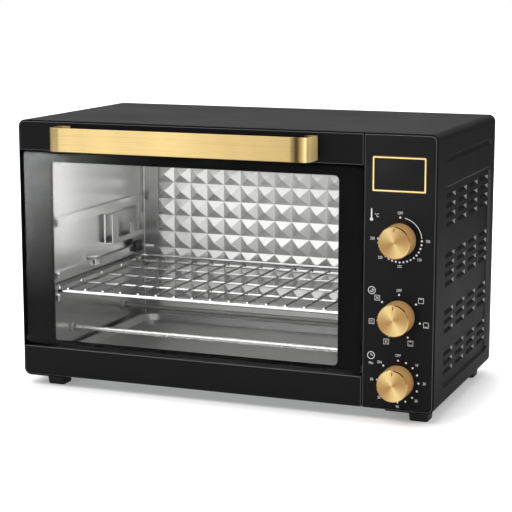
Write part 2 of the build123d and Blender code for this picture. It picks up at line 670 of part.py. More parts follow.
def hinge_pins():
    """Two pins out of the door's side flanges, their heads flattened against the sheet."""
    made = []
    for face, ear, out in hinge_ends():
        tip = ear - 0.1 if out < 0 else ear + HINGE_EAR_THICK + 0.1
        inside = face - out * (DOOR_SHEET + 1.5)
        shank = rod_x(HINGE_Y, HINGE_Z, HINGE_PIN, min(tip, inside), max(tip, inside))
        seat = face - out * DOOR_SHEET
        head = rod_x(HINGE_Y, HINGE_Z, 1.7 * HINGE_PIN, min(seat, inside), max(seat, inside))
        flat = rect(-BODY_WIDTH, BODY_WIDTH, HINGE_Z - 2 * HINGE_PIN, HINGE_Z + 2 * HINGE_PIN)
        made.append(shank + (head - slab(flat, 0, SHEET_BACK + 0.05)))
    return made


def hinge_ears():
    """Two ears on the front frame that the door's pins turn in."""
    made = []
    for _, ear, _ in hinge_ends():
        arm = rect(HINGE_Y, FRAME_FRONT, HINGE_Z - HINGE_EAR, HINGE_Z + HINGE_EAR)
        plate = wall(arm + Pos(HINGE_Y, HINGE_Z) * Circle(HINGE_EAR), ear, ear + HINGE_EAR_THICK)
        hole = rod_x(HINGE_Y, HINGE_Z, HINGE_PIN + PIN_CLEARANCE, ear, ear + HINGE_EAR_THICK)
        made.append(plate - hole)
    return made


# Dials and what they turn
def knob(z):
    """A spun-metal knob: a thin skin with a bevelled face, a hub inside and an index line."""
    base = -PANEL_PROUD - KNOB_GAP
    face = base - KNOB_LENGTH
    bevel, skin = KNOB_BEVEL, KNOB_SKIN
    profile = Polygon(
        (0, face), (KNOB_RADIUS - bevel, face), (KNOB_RADIUS, face + bevel), (KNOB_BASE_RADIUS, base),
        (KNOB_BASE_RADIUS - skin, base), (KNOB_RADIUS - skin, face + skin), (KNOB_HUB, face + skin),
        (KNOB_HUB, base), (SHAFT_RADIUS + 0.05, base), (SHAFT_RADIUS + 0.05, base - SHAFT_BITE),
        (0, base - SHAFT_BITE), align=None,
    )
    body = revolve(profile, Axis.Y)
    line = rect(-INDEX_WIDTH / 2, INDEX_WIDTH / 2, KNOB_RADIUS * 0.62, KNOB_RADIUS * 0.9)
    index = slab(line, face, face + INDEX_DEPTH)
    return Pos(DIAL_X, 0, z) * (body - index)


def shaft(z, control_depth):
    """A dial's shaft, flattened where the knob grips it, ending in its control."""
    tip = -PANEL_PROUD - KNOB_GAP - SHAFT_BITE + 0.2
    end = CAVITY_FRONT + control_depth
    rod = rod_y(DIAL_X, z, SHAFT_RADIUS, tip, end)
    top = z + SHAFT_FLAT
    flat = rect(DIAL_X - SHAFT_RADIUS, DIAL_X + SHAFT_RADIUS, top, top + SHAFT_RADIUS)
    return rod - slab(flat, tip, -PANEL_PROUD - KNOB_GAP)


def control_bore(z, control_depth):
    """The bore in a control that its shaft turns in."""
    return rod_y(DIAL_X, z, SHAFT_RADIUS + PIN_CLEARANCE, CAVITY_FRONT, CAVITY_FRONT + control_depth + 0.3)


def thermostat():
    """The snap-action thermostat behind the temperature dial, with two blade terminals."""
    middle = CAVITY_FRONT + THERMOSTAT_CAN_DEPTH
    back = middle + THERMOSTAT_BLOCK_DEPTH
    body = rod_y(DIAL_X, TEMPERATURE_Z, THERMOSTAT_CAN, CAVITY_FRONT, middle)
    centre = Pos(DIAL_X, TEMPERATURE_Z)
    body = body + slab(centre * RectangleRounded(THERMOSTAT_WIDTH, THERMOSTAT_HEIGHT, 2), middle, back)
    for spot in centre * GridLocations(0, THERMOSTAT_HEIGHT * 2 / 3, 1, 2):
        body = body + slab(spot * Rectangle(BLADE_WIDTH, BLADE_THICK), back, back + BLADE_LENGTH)
    return body - control_bore(TEMPERATURE_Z, THERMOSTAT_BORE)


def selector_switch():
    """The rotary switch behind the function dial, with a ring of blade terminals."""
    back = CAVITY_FRONT + SWITCH_DEPTH
    body = rod_y(DIAL_X, FUNCTION_Z, SWITCH_RADIUS, CAVITY_FRONT, back)
    body = chamfer(body.faces().sort_by(Axis.Y)[-1].edges(), 2)
    inner = 0.7 * SWITCH_RADIUS
    outline = rect(inner, inner + BLADE_THICK, -BLADE_WIDTH / 2, BLADE_WIDTH / 2)
    blade = slab(outline, back, back + BLADE_LENGTH)
    turns = [360 / SWITCH_BLADES * number for number in range(SWITCH_BLADES)]
    blades = [Pos(DIAL_X, 0, FUNCTION_Z) * Rot(0, turn, 0) * blade for turn in turns]
    return body + blades - control_bore(FUNCTION_Z, SWITCH_BORE)


def timer():
    """The clockwork timer behind the lowest dial."""
    back = CAVITY_FRONT + TIMER_THICK
    centre = Pos(DIAL_X, TIMER_Z)
    body = slab(centre * RectangleRounded(TIMER_SIDE, TIMER_SIDE, 5), CAVITY_FRONT, back)
    spread = 0.75 * TIMER_SIDE
    for spot in centre * GridLocations(spread, spread, 2, 2):
        body = body + slab(spot * Circle(TIMER_STUD), back, back + TIMER_STUD)
    return body - control_bore(TIMER_Z, TIMER_BORE)


def timer_bell():
    """The bell cup on the back of the timer."""
    start = CAVITY_FRONT + TIMER_THICK
    mouth = start + BELL_STAND
    cup = rod_y(DIAL_X, TIMER_Z, BELL_RADIUS, mouth, mouth + BELL_DEPTH)
    cup = fillet(cup.faces().sort_by(Axis.Y)[-1].edges(), BELL_DEPTH / 2)
    cup = cup - rod_y(DIAL_X, TIMER_Z, BELL_RADIUS - 1, mouth, mouth + 0.4 * BELL_DEPTH)
    return cup + rod_y(DIAL_X, TIMER_Z, BELL_POST, start, mouth + 0.8 * BELL_DEPTH)


# Oven cavity
def side_liner(side):
    """A polished side wall with three pressed runners and holes for the heaters."""
    face = CAVITY_LEFT if side < 0 else CAVITY_RIGHT
    outer = face + side * LINER
    area = rect(CAVITY_FRONT, CAVITY_BACK + LINER, CAVITY_FLOOR - LINER, CAVITY_TOP + LINER)
    liner = wall(area, min(face, outer), max(face, outer))
    for low, high in RUNNERS:
        middle = ((RUNNER_FRONT + RUNNER_BACK) / 2, (low + high) / 2)
        plane = Plane(origin=(outer, *middle), x_dir=(0, 1, 0), z_dir=(-side, 0, 0))
        liner = press(
            liner, plane, RUNNER_BACK - RUNNER_FRONT - 2 * LINER, high - low - 2 * LINER,
            RUNNER_RADIUS, RUNNER_DEPTH, RUNNER_SLOPE, LINER,
        )
    reach = (min(face, outer) - RUNNER_DEPTH, max(face, outer) + RUNNER_DEPTH)
    return liner - [rod_x(y, z, BUSH_NECK + 0.1, *reach) for y, z in HEATER_SPOTS]


def left_liner():
    return side_liner(-1)


def right_liner():
    hole = rod_x(SPIT_Y, SPIT_Z, COUPLING_RADIUS + 0.5, CAVITY_RIGHT - 1, CAVITY_RIGHT + LINER + 1)
    return side_liner(1) - hole


def top_liner():
    area = rect(CAVITY_LEFT, CAVITY_RIGHT, CAVITY_FRONT, CAVITY_BACK)
    return layer(area, CAVITY_TOP, CAVITY_TOP + LINER)


def floor_liner():
    area = rect(CAVITY_LEFT, CAVITY_RIGHT, CAVITY_FRONT, CAVITY_BACK)
    return layer(area, CAVITY_FLOOR - LINER, CAVITY_FLOOR)


def ridges(start, pitch, count, low, high):
    """The corners of a saw-tooth section across the panel: how far along it, and how deep."""
    behind = CAVITY_BACK + PYRAMID_RISE
    points = [(low, behind), (low, CAVITY_BACK)]
    for tooth in range(count):
        points.append((start + pitch * tooth, CAVITY_BACK))
        points.append((start + pitch * (tooth + 0.5), CAVITY_BACK - PYRAMID_RISE))
    return points + [(start + pitch * count, CAVITY_BACK), (high, CAVITY_BACK), (high, behind)]


def back_liner():
    """The embossed back wall. Upright ridges and level ridges, crossed, leave square pyramids."""
    first = CAVITY_MIDDLE - PYRAMID_WIDTH * PYRAMID_COLUMNS / 2
    upright = ridges(first, PYRAMID_WIDTH, PYRAMID_COLUMNS, CAVITY_LEFT, CAVITY_RIGHT)
    level = ridges(PYRAMID_LOW, PYRAMID_HEIGHT, PYRAMID_ROWS, CAVITY_FLOOR, CAVITY_TOP)
    columns = layer(Polygon(*upright, align=None), CAVITY_FLOOR, CAVITY_TOP)
    level = [(depth, along) for along, depth in level]
    rows = wall(Polygon(*level, align=None), CAVITY_LEFT, CAVITY_RIGHT)
    block = columns & rows
    panel = block - Pos(0, LINER, 0) * block
    for x in (CAVITY_LEFT, CAVITY_RIGHT - LINER):
        flange = rect(x, x + LINER, CAVITY_BACK - BACK_FLANGE, CAVITY_BACK)
        panel = panel + layer(flange, CAVITY_FLOOR, CAVITY_TOP)
    return panel


def heater(y, z):
    """A sheathed heating tube across the cavity, with a terminal pin at each end."""
    left, right = CAVITY_LEFT - HEATER_TAIL, CAVITY_RIGHT + HEATER_TAIL
    tube = rod_x(y, z, HEATER_RADIUS, left, right)
    return tube + rod_x(y, z, TERMINAL_RADIUS, left - TERMINAL_LENGTH, right + TERMINAL_LENGTH)


def heater_bushes(y, z):
    """The two collars that hold a heating tube in the side walls."""
    made = []
    for face, out in ((CAVITY_LEFT, -1), (CAVITY_RIGHT, 1)):
        tip = face - out * BUSH_INSIDE
        end = face + out * (LINER + BUSH_OUTSIDE)
        collar = rod_x(y, z, BUSH_RADIUS, min(face, tip), max(face, tip))
        neck = rod_x(y, z, BUSH_NECK, min(face, end), max(face, end))
        bore = rod_x(y, z, HEATER_RADIUS + 0.1, min(tip, end), max(tip, end))
        made.append(collar + neck - bore)
    return made


def spit_bracket():
    """The bracket on the left wall that carries the spit's free end, with two open pockets."""
    back = CAVITY_LEFT
    front = back + BRACKET_STAND
    area = rect(BRACKET_FRONT, BRACKET_BACK, BRACKET_LOW, BRACKET_HIGH)
    plate = wall(area, back, back + BRACKET_SHEET)
    shelf = wall(rect(BRACKET_FRONT, BRACKET_BACK, BRACKET_LOW, BRACKET_LOW + BRACKET_SHEET), back, front)
    top = BRACKET_HIGH + 1
    comb = area - rect(*POCKET_FRONT, POCKET_FLOOR, top, 0) - rect(*POCKET_BACK, POCKET_FLOOR, top, 0)
    comb = comb - rect(POCKET_FRONT[1] - 1, POCKET_BACK[0] + 1, TONGUE_TOP, top)
    comb = comb - rect(POCKET_BACK[1] - 1, BRACKET_BACK + 1, BRACKET_HIGH - 9, top)
    return plate + shelf + wall(comb, front - BRACKET_SHEET, front)


def rack_stop():
    """The D-shaped tab on a short stem on the left wall, above the rack's guard."""
    tip = CAVITY_LEFT + STOP_STAND
    tab = rect(STOP_FRONT, STOP_FRONT + STOP_WIDTH, STOP_LOW, STOP_LOW + STOP_HEIGHT)
    tab = fillet(tab.vertices().group_by(Axis.X)[-1], STOP_WIDTH / 2)
    stem = rod_x(STOP_FRONT + STOP_WIDTH / 3, STOP_STEM_Z, STOP_STEM, CAVITY_LEFT, tip)
    return stem + wall(tab, tip, tip + BRACKET_SHEET)


def sensor_clip():
    """The folded clip on the crest of the left wall's middle runner, open at its back."""
    root = CAVITY_LEFT + RUNNER_DEPTH
    tip = root + CLIP_STAND
    loop = layer(rect(root, tip, CLIP_FRONT, CLIP_BACK), CLIP_LOW, CLIP_HIGH)
    inside = rect(root + CLIP_SHEET, tip - CLIP_SHEET, CLIP_FRONT + CLIP_SHEET, CLIP_BACK)
    loop = loop - layer(inside, CLIP_LOW, CLIP_HIGH)
    return loop - rod_x(SENSOR_Y, SENSOR_Z, SENSOR_RADIUS + PIN_CLEARANCE, root + CLIP_SHEET, tip)


def sensor_bulb():
    """The thermostat's sensor bulb, standing out of its clip along the back wall."""
    root = CAVITY_LEFT + RUNNER_DEPTH + CLIP_SHEET
    bulb = rod_x(SENSOR_Y, SENSOR_Z, SENSOR_RADIUS, root, root + SENSOR_LENGTH)
    return fillet(bulb.faces().sort_by(Axis.X)[-1].edges(), SENSOR_RADIUS * 0.6)


def spit_coupling():
    """The turning socket on the right wall that drives the spit's square end."""
    tip = CAVITY_RIGHT - COUPLING_REACH
    root = CAVITY_RIGHT + LINER + 0.6
    cup = rod_x(SPIT_Y, SPIT_Z, COUPLING_RADIUS, tip, root)
    half = COUPLING_SOCKET / 2
    socket = rect(SPIT_Y - half, SPIT_Y + half, SPIT_Z - half, SPIT_Z + half)
    cup = cup - wall(socket, tip, CAVITY_RIGHT - 1)
    return cup + rod_x(SPIT_Y, SPIT_Z, SHAFT_RADIUS, root, root + 8)


def spit_motor():
    """The slow gear motor of the spit, on the outside of the right wall."""
    start = CAVITY_RIGHT + LINER + 1.2
    half_y, half_z = MOTOR_WIDTH / 2, MOTOR_HEIGHT / 2
    outline = rect(SPIT_Y - half_y, SPIT_Y + half_y, SPIT_Z - half_z, SPIT_Z + half_z, 6)
    body = wall(outline, start, start + MOTOR_THICK)
    for side in (-1, 1):
        y = SPIT_Y + side * (half_y - 7)
        body = body + rod_x(y, SPIT_Z, 3, CAVITY_RIGHT + LINER, start)
    bore = rod_x(SPIT_Y, SPIT_Z, SHAFT_RADIUS + PIN_CLEARANCE, start, start + 8)
    return body - bore


# Rack and tray
def wire_rack():
    """The welded rack: rails, cross wires, close-set depth wires and a raised guard."""
    left, right = CAVITY_LEFT + RACK_SIDE_GAP, CAVITY_RIGHT - RACK_SIDE_GAP
    back = CAVITY_BACK - PYRAMID_RISE - RACK_BACK_GAP
    rail_z = RUNNERS[0][1] + FIT + RACK_RAIL
    wire_z = rail_z + RACK_RAIL + RACK_WIRE - RACK_WELD
    cross_z = wire_z - RACK_WIRE - RACK_CROSS + RACK_WELD
    guard_z = rail_z + GUARD_RISE
    side_left, side_right = left + RACK_GUARD, right - RACK_GUARD
    rail_back = back - 2 * RACK_RAIL
    rails = [rod_x(y, rail_z, RACK_RAIL, left, right) for y in (RACK_FRONT_Y, rail_back)]
    span = rail_back - RACK_FRONT_Y
    cross_at = [RACK_FRONT_Y + span * (n + 1) / (RACK_CROSS_WIRES + 1) for n in range(RACK_CROSS_WIRES)]
    wires = [rod_x(y, cross_z, RACK_CROSS, left + 0.3, right - 0.3) for y in cross_at]
    first, last = side_left + RACK_EDGE, side_right - RACK_EDGE
    for n in range(RACK_WIRES):
        x = first + (last - first) * n / (RACK_WIRES - 1)
        wires.append(rod_y(x, wire_z, RACK_WIRE, RACK_FRONT_Y - 0.5, rail_back + 0.5))
    path = FilletPolyline(
        (side_left, RACK_FRONT_Y, guard_z), (side_left, back, guard_z),
        (side_right, back, guard_z), (side_right, RACK_FRONT_Y, guard_z), radius=GUARD_BEND,
    )
    guard = sweep(Plane(origin=path @ 0, z_dir=path % 0) * Circle(RACK_GUARD), path)
    posts = [
        rod_z(x, y, RACK_POST, cross_z - 0.5, guard_z + 0.5)
        for x in (side_left, side_right) for y in [RACK_FRONT_Y + 1, *cross_at, rail_back]
    ]
    deck = rails[0] + rails[1:] + wires
    return deck + posts + guard


def tray_level(inset, z, sheet=0.0):
    cut = inset + sheet
    outline = rect(
        CAVITY_LEFT + TRAY_SIDE_GAP + cut, CAVITY_RIGHT - TRAY_SIDE_GAP - cut,
        TRAY_FRONT_Y + cut, TRAY_BACK_Y - cut, TRAY_RADIUS - cut,
    )
    return Plane.XY.offset(z) * outline


def crumb_tray():
    """The shallow tray on the cavity's floor, with drawn sides, round corners and a rolled rim."""
    low = CAVITY_FLOOR + FIT
    high = low + TRAY_HEIGHT
    inset = TRAY_RIM + TRAY_DRAFT
    dish = loft([tray_level(inset, low), tray_level(TRAY_RIM, high)])
    rim = extrude(tray_level(0, high - TRAY_SHEET), TRAY_SHEET)
    inside = loft([tray_level(inset, low + TRAY_SHEET, TRAY_SHEET), tray_level(TRAY_RIM, high, TRAY_SHEET)])
    return dish + rim - inside


def save(name, shape):
    """Writes one piece, moved so that the origin is the oven's bottom centre."""
    solids = shape if isinstance(shape, list) else [shape]
    placed = [PLACE * solid for solid in solids]
    piece = placed[0] if len(placed) == 1 else Compound(children=placed)
    export_step(piece, "parts/" + name + ".step")


PIECES = {
    "wrapper": wrapper,
    "back_cover": back_cover,
    "case_screws": case_screws,
    "cord_gland": cord_gland,
    "base_pan": base_pan,
    "front_frame": front_frame,
    "lower_strip": lower_strip,
    "control_panel": control_panel,
    "display_bezel": display_bezel,
    "display_window": display_window,
    "display_board": display_board,
    "door_glass": door_glass,
    "door_frame": door_frame,
    "door_top_trim": door_top_trim,
    "door_handle": door_handle,
    "handle_screws": handle_screws,
    "thermostat": thermostat,
    "selector_switch": selector_switch,
    "timer": timer,
    "timer_bell": timer_bell,
    "left_liner": left_liner,
    "right_liner": right_liner,
    "top_liner": top_liner,
    "floor_liner": floor_liner,
    "back_liner": back_liner,
    "spit_bracket": spit_bracket,
    "rack_stop": rack_stop,
    "sensor_clip": sensor_clip,
    "sensor_bulb": sensor_bulb,
    "spit_coupling": spit_coupling,
    "spit_motor": spit_motor,
    "wire_rack": wire_rack,
    "crumb_tray": crumb_tray,
}
DIALS = {
    "temperature": (TEMPERATURE_Z, THERMOSTAT_BORE),
    "function": (FUNCTION_Z, SWITCH_BORE),
    "timer": (TIMER_Z, TIMER_BORE),
}
FOOT_NAMES = ("left_front_foot", "left_back_foot", "right_front_foot", "right_back_foot")
HEATER_NAMES = ("lower_heater_front", "lower_heater_back", "upper_heater_front", "upper_heater_back")

os.makedirs("parts", exist_ok=True)
for name, make in PIECES.items():
    save(name, make())
for name, (z, depth) in DIALS.items():
    save(name + "_knob", knob(z))
    save(name + "_shaft", shaft(z, depth))
for name, foot in zip(FOOT_NAMES, feet()):
    save(name, foot)
for side, pin, ear in zip(("left", "right"), hinge_pins(), hinge_ears()):
    save(side + "_hinge_pin", pin)
    save(side + "_hinge_ear", ear)
for name, (y, z) in zip(HEATER_NAMES, HEATER_SPOTS):
    save(name, heater(y, z))
    for side, bush in zip(("left", "right"), heater_bushes(y, z)):
        save(name + "_" + side + "_bush", bush)
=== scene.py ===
"""The looks of a worktop electric oven, laid out as a Blender add-on and run as a script."""

import math

import bmesh
import bpy
from mathutils import Matrix, Vector


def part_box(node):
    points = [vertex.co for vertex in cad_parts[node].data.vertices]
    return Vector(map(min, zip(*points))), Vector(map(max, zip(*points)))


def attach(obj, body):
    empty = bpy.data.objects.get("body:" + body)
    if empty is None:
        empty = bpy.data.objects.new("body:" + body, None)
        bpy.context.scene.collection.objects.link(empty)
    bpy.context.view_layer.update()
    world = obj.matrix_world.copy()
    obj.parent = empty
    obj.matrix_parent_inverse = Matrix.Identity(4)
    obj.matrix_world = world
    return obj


bl_info = {
    "name": "Worktop oven finish",
    "version": (1, 0, 0),
    "blender": (4, 5, 0),
    "location": "View3D > Sidebar > Oven",
    "description": "Paint, metal, glass, dial scales and a small studio for a worktop electric oven",
    "category": "Object",
}

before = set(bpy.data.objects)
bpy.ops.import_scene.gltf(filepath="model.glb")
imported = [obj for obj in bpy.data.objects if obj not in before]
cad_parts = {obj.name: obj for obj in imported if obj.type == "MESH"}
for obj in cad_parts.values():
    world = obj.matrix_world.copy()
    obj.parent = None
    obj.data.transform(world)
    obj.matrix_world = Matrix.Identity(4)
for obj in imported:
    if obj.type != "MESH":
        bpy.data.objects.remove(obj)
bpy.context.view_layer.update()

MM = 0.001
CABINET = "cabinet"

WRAPPER_LOW, WRAPPER_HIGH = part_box("wrapper")
PANEL_LOW, PANEL_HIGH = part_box("control_panel")
GLASS_LOW, GLASS_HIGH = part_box("door_glass")

# Shader editor: nodes in a row, and the room that each takes
NODE_ROW, NODE_WIDE, NODE_HIGH = 8, 200, 320

# Most of a noise's values lie in this span
NOISE_SPAN = (0.35, 0.65)

# Dials: direction of the face's painted dark fan (painted shade), index line, rounded front edge, polished
# rim and metal
FAN_TURN = math.radians(62)
INDEX_HALF = 0.55 * MM
INDEX_START = 13.0 * MM
INDEX_END = 17.3 * MM
KNOB_EDGE = 1.1 * MM
KNOB_RIM = 18.1 * MM
SPUN_METAL = 0.55
SPUN_ROUGH = 0.33

# Cabinet: depth of the louvres' zone on the right side, its start behind the front, and the rear slope
LOUVRE_REACH = 20 * MM
LOUVRE_START = 30 * MM
REAR_SLOPE = 20 * MM

# Handle: length of the bends that carry painted shade and highlight, depth of the outer face, and x where the
# gold's painted shade starts
STRAP_BEND = 28 * MM
STRAP_FACE = 8 * MM
PAINTED_SHADE_FROM = -60 * MM

# Display frame: the painted highlight line's depth from the outline, and where it starts and ends to fade
BEZEL_MIDDLE = 1.7 * MM
BEZEL_FADE = (0.45 * MM, 0.95 * MM)

# Back wall, from its left edge: where the strip of painted shade fades, and the middle and fade of the
# painted highlight on the roll
MARGIN_SHADE_FADE = (22 * MM, 34 * MM)
ROLL_MIDDLE = 3 * MM
ROLL_FADE = (0.6 * MM, 1.4 * MM)

# Print: the letters' narrowing, the labels' places, the symbols, and the signs' square with its marks
LETTER_NARROW = 0.78
LABEL_NARROW = 0.72
WORD_GAP = 1.2 * MM
THERMOMETER_AWAY = 35 * MM
THERMOMETER_WIDE = 1.7 * MM
THERMOMETER_LONG = 11 * MM
BULB_DROP = 12 * MM
BULB_RADIUS = 2.1 * MM
SYMBOL_AWAY = 33.5 * MM
SYMBOL_RADIUS = 4.3 * MM
SPIRAL_RADIUS = 1.8 * MM
SIGN_HALF = 3.05 * MM
SIGN_LINE = 0.45 * MM
SIGN_INSET = 1.1 * MM
FAN_BAR = 0.9 * MM
ZIGZAG_ROW = 1.2 * MM
ZIGZAG_RISE = 0.5 * MM

# Floor: half of the dull patch under the cabinet, its glow, and how far around it the floor turns white
PATCH_HALF = (0.27, 0.14, 0)
PATCH_GLOW = 0.25
PATCH_REACH = 0.11

# Lamps that one piece receives: their distances, and where their images or their light lie
GLARE_AWAY = 0.5
GLASS_GLARE_OUT = 0.02
GLASS_GLARE_IN = 0.16
GLASS_GLARE_LIFT = 0.075
PANEL_GLARE_HIGH = 0.13
PANEL_GLARE = 130.0
DISPLAY_GLARE = 6.0
WALL_AWAY = 0.12
WALL_SPOT_IN = 0.04
WALL_SPOT_DROP = 0.07

# Cavity lamp: how far left of the middle and below the top wall it hangs, and its y
CAVITY_LAMP_LEFT = 0.05
CAVITY_LAMP_DROP = 0.018
CAVITY_LAMP_Y = 0.035

# Dark cards: name, place, facing, width, height and glow
FLAGS = (
    ("Flag at the front right", (0.5, -1.2, 0.5), (0, 1, 0), 0.8, 1.0, 0.0),
    ("Flag overhead", (0.68, -0.5, 1.1), (0, 0, -1), 1.25, 0.6, 0.0),
    ("Flag at the back right", (0.9, 0.75, 0.5), (-0.5, -1, 0), 1.2, 1.0, 0.2),
    ("Flag at the back", (-0.6, 1.4, 0.55), (0.3, -1, 0), 2.6, 1.1, 0.6),
)

# Camera: the film's width in millimetres
FILM_WIDE = 36


def middle(node):
    """The middle of a CAD node's box."""
    low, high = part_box(node)
    return (low + high) / 2


def linear(code):
    """A colour written as six hexadecimal digits, as Blender's linear values with alpha."""
    parts = [int(code[i : i + 2], 16) / 255 for i in (0, 2, 4)]
    return tuple(p / 12.92 if p <= 0.04045 else ((p + 0.055) / 1.055) ** 2.4 for p in parts) + (1.0,)


def colour_prop(name, words, code):
    return bpy.props.FloatVectorProperty(
        name=name, description=words, subtype="COLOR", size=4, min=0, max=1, default=linear(code)
    )


def length_prop(name, words, millimetres):
    return bpy.props.FloatProperty(
        name=name, description=words, unit="LENGTH", default=millimetres * MM, min=0, precision=4
    )


def number_prop(name, words, value):
    return bpy.props.FloatProperty(name=name, description=words, default=value)


def angle_prop(name, words, degrees):
    return bpy.props.FloatProperty(
        name=name, description=words, subtype="ANGLE", default=math.radians(degrees)
    )


class OvenFinish(bpy.types.PropertyGroup):
    """Colours of the oven's finishes, and of the highlights and shade painted on them."""

    paint: colour_prop("Cabinet paint", "Powder coat of the cabinet", "131314")
    # Painted highlight on the louvres' ends that face the front
    louvre_end_highlight: colour_prop("Louvre end highlight", "Painted highlight on the closed louvre ends that face the front", "f0f0f0")
    trim: colour_prop("Black trim", "Door trim, lower strip and control panel", "141415")
    # Painted highlight on the rounded edges of the black trim and control panel
    edge: colour_prop("Painted edge highlight", "Painted highlight where the black coat turns over a rounded edge", "6a6a6b")
    gold: colour_prop("Gold", "Anodised handle, dials and display frame", "dcc286")
    gold_shade: colour_prop("Gold shade", "Deeper tone within the gold's grain", "d0b476")
    # Painted shade of the gold on the dials, the handle's bends and the display frame
    gold_painted_shade: colour_prop("Gold painted shade", "Painted shade of the gold: the dials' dark fan, the handle's bend bands and the display frame's bevels", "98733f")
    steel: colour_prop("Cavity steel", "Polished walls of the cavity", "dadad9")
    # Bright chrome, also laid as a painted highlight on the rack and bracket
    chrome: colour_prop("Chrome", "Bright chrome, and the painted highlight on the rack's and bracket's faces that look front or back", "e0e0e0")
    wire: colour_prop("Rack wire", "Thin wires of the rack", "8a8a8a")
    printing: colour_prop("Print", "Scales and signs on the control panel", "e9e9e9")
    rubber: colour_prop("Rubber", "Feet and cord gland", "121212")
    ceramic: colour_prop("Ceramic", "Collars of the heating tubes", "8f8f8c")


class OvenScales(bpy.types.PropertyGroup):
    """Sizes of the scales printed around the dials."""

    ring: length_prop("Scale radius", "Distance of the marks from a dial's centre", 26.6)
    icon_ring: length_prop("Sign radius", "Distance of the function signs from the dial's centre", 34.2)
    label_gap: length_prop("Label gap", "Distance from the marks to their numbers", 5.8)
    dot: length_prop("Dot radius", "Radius of a mark", 1.2)
    line: length_prop("Line width", "Width of the printed lines", 0.75)
    letter: length_prop("Letter height", "Size of the numbers and words", 4.9)
    thickness: length_prop("Print thickness", "How far the print stands off the panel", 0.06)


class OvenStudio(bpy.types.PropertyGroup):
    """Lamps, backdrop and camera."""

    key: number_prop("Key lamp", "Power of the large lamp above", 36.0)
    side: number_prop("Side lamp", "Power of the lamp at the right", 8.0)
    back: number_prop("Back lamp", "Power of the lamp behind", 30.0)
    inside: number_prop("Cavity lamp", "Power of the lamp inside", 0.17)
    wall: number_prop("Wall lamp", "Power of the left wall's lamp", 0.06)
    glare: number_prop("Glass lamp", "Glow of the lamp in the glass", 195.0)
    world: number_prop("Sky", "Brightness of the soft light all round", 0.65)
    camera_x: length_prop("Camera x", "Sideways place of the camera", 746)
    camera_y: number_prop("Camera y", "Camera to cabinet front", -1.779)
    camera_z: length_prop("Camera z", "Camera above the cabinet's underside", 516)
    yaw: angle_prop("Yaw", "Turn to the left of straight ahead", 21.38)
    pitch: angle_prop("Pitch", "Tilt below the horizon", 10.05)
    focal: bpy.props.FloatProperty(
        name="Lens", description="Focal length for a 36 mm film", unit="CAMERA", default=112.29
    )


# Nodes that the finishes and the studio are made of
def add_node(tree, kind, **settings):
    """A node set beside the ones before it, in rows to the left of the shader."""
    count = len(tree.nodes)
    node = tree.nodes.new(kind)
    node.location = (NODE_WIDE * (count % NODE_ROW - NODE_ROW), -NODE_HIGH * (count // NODE_ROW))
    for key, value in settings.items():
        setattr(node, key, value)
    return node


def feed(tree, socket, value):
    """Links another socket to this one, or gives it a number, a vector or a colour."""
    if isinstance(value, bpy.types.NodeSocket):
        tree.links.new(value, socket)
    else:
        socket.default_value = value


def noise(tree, vector, scale, detail=3.0, roughness=0.5):
    node = add_node(tree, "ShaderNodeTexNoise")
    for name, value in (("Vector", vector), ("Scale", scale), ("Detail", detail), ("Roughness", roughness)):
        feed(tree, node.inputs[name], value)
    return node.outputs["Fac"]


def math_node(tree, operation, *values, clamp=False):
    node = add_node(tree, "ShaderNodeMath", operation=operation, use_clamp=clamp)
    for socket, value in zip(node.inputs, values):
        feed(tree, socket, value)
    return node.outputs[0]


def vector_node(tree, operation, *values):
    """A vector operation, whose result is a number for a length or a dot product."""
    node = add_node(tree, "ShaderNodeVectorMath", operation=operation)
    for socket, value in zip(node.inputs, values):
        feed(tree, socket, value)
    return node.outputs["Value" if operation in ("LENGTH", "DOT_PRODUCT") else "Vector"]


def remap(tree, *values):
    """A value carried from one span to another: the value, the span's ends and the new span's ends."""
    node = add_node(tree, "ShaderNodeMapRange")
    for name, value in zip(("Value", "From Min", "From Max", "To Min", "To Max"), values):
        feed(tree, node.inputs[name], value)
    return node.outputs["Result"]


def between(tree, factor, first, second, kind="RGBA"):
    """A colour or a vector between two others, by a factor."""
    mix = add_node(tree, "ShaderNodeMix", data_type=kind)
    for name, value in (("Factor", factor), ("A", first), ("B", second)):
        feed(tree, mix.inputs[name], value)
    return mix.outputs["Result"]


def surface(tree, kind):
    """A surface's place (Object) or the way that it faces (Normal), in the piece's own axes."""
    return add_node(tree, "ShaderNodeTexCoord").outputs[kind]


def axes(tree, vector):
    """The X, Y and Z of a vector's socket."""
    split = add_node(tree, "ShaderNodeSeparateXYZ")
    tree.links.new(vector, split.inputs[0])
    return split.outputs


def distance(tree, value, other):
    """How far a number is from another, either way."""
    return math_node(tree, "ABSOLUTE", math_node(tree, "SUBTRACT", value, other))


# Shader node groups that several finishes share
def new_group(name, inputs, outputs):
    """A shader node group: its tree, what comes in and what it puts out."""
    tree = bpy.data.node_groups.new(name, "ShaderNodeTree")
    for socket, value in inputs.items():
        kind = "NodeSocketFloat" if isinstance(value, float) else "NodeSocketVector"
        tree.interface.new_socket(socket, in_out="INPUT", socket_type=kind).default_value = value
    for socket in outputs:
        tree.interface.new_socket(socket, in_out="OUTPUT", socket_type="NodeSocketFloat")
    start = add_node(tree, "NodeGroupInput")
    end = add_node(tree, "NodeGroupOutput")
    end.location = (0, 0)
    return tree, start.outputs, end.inputs


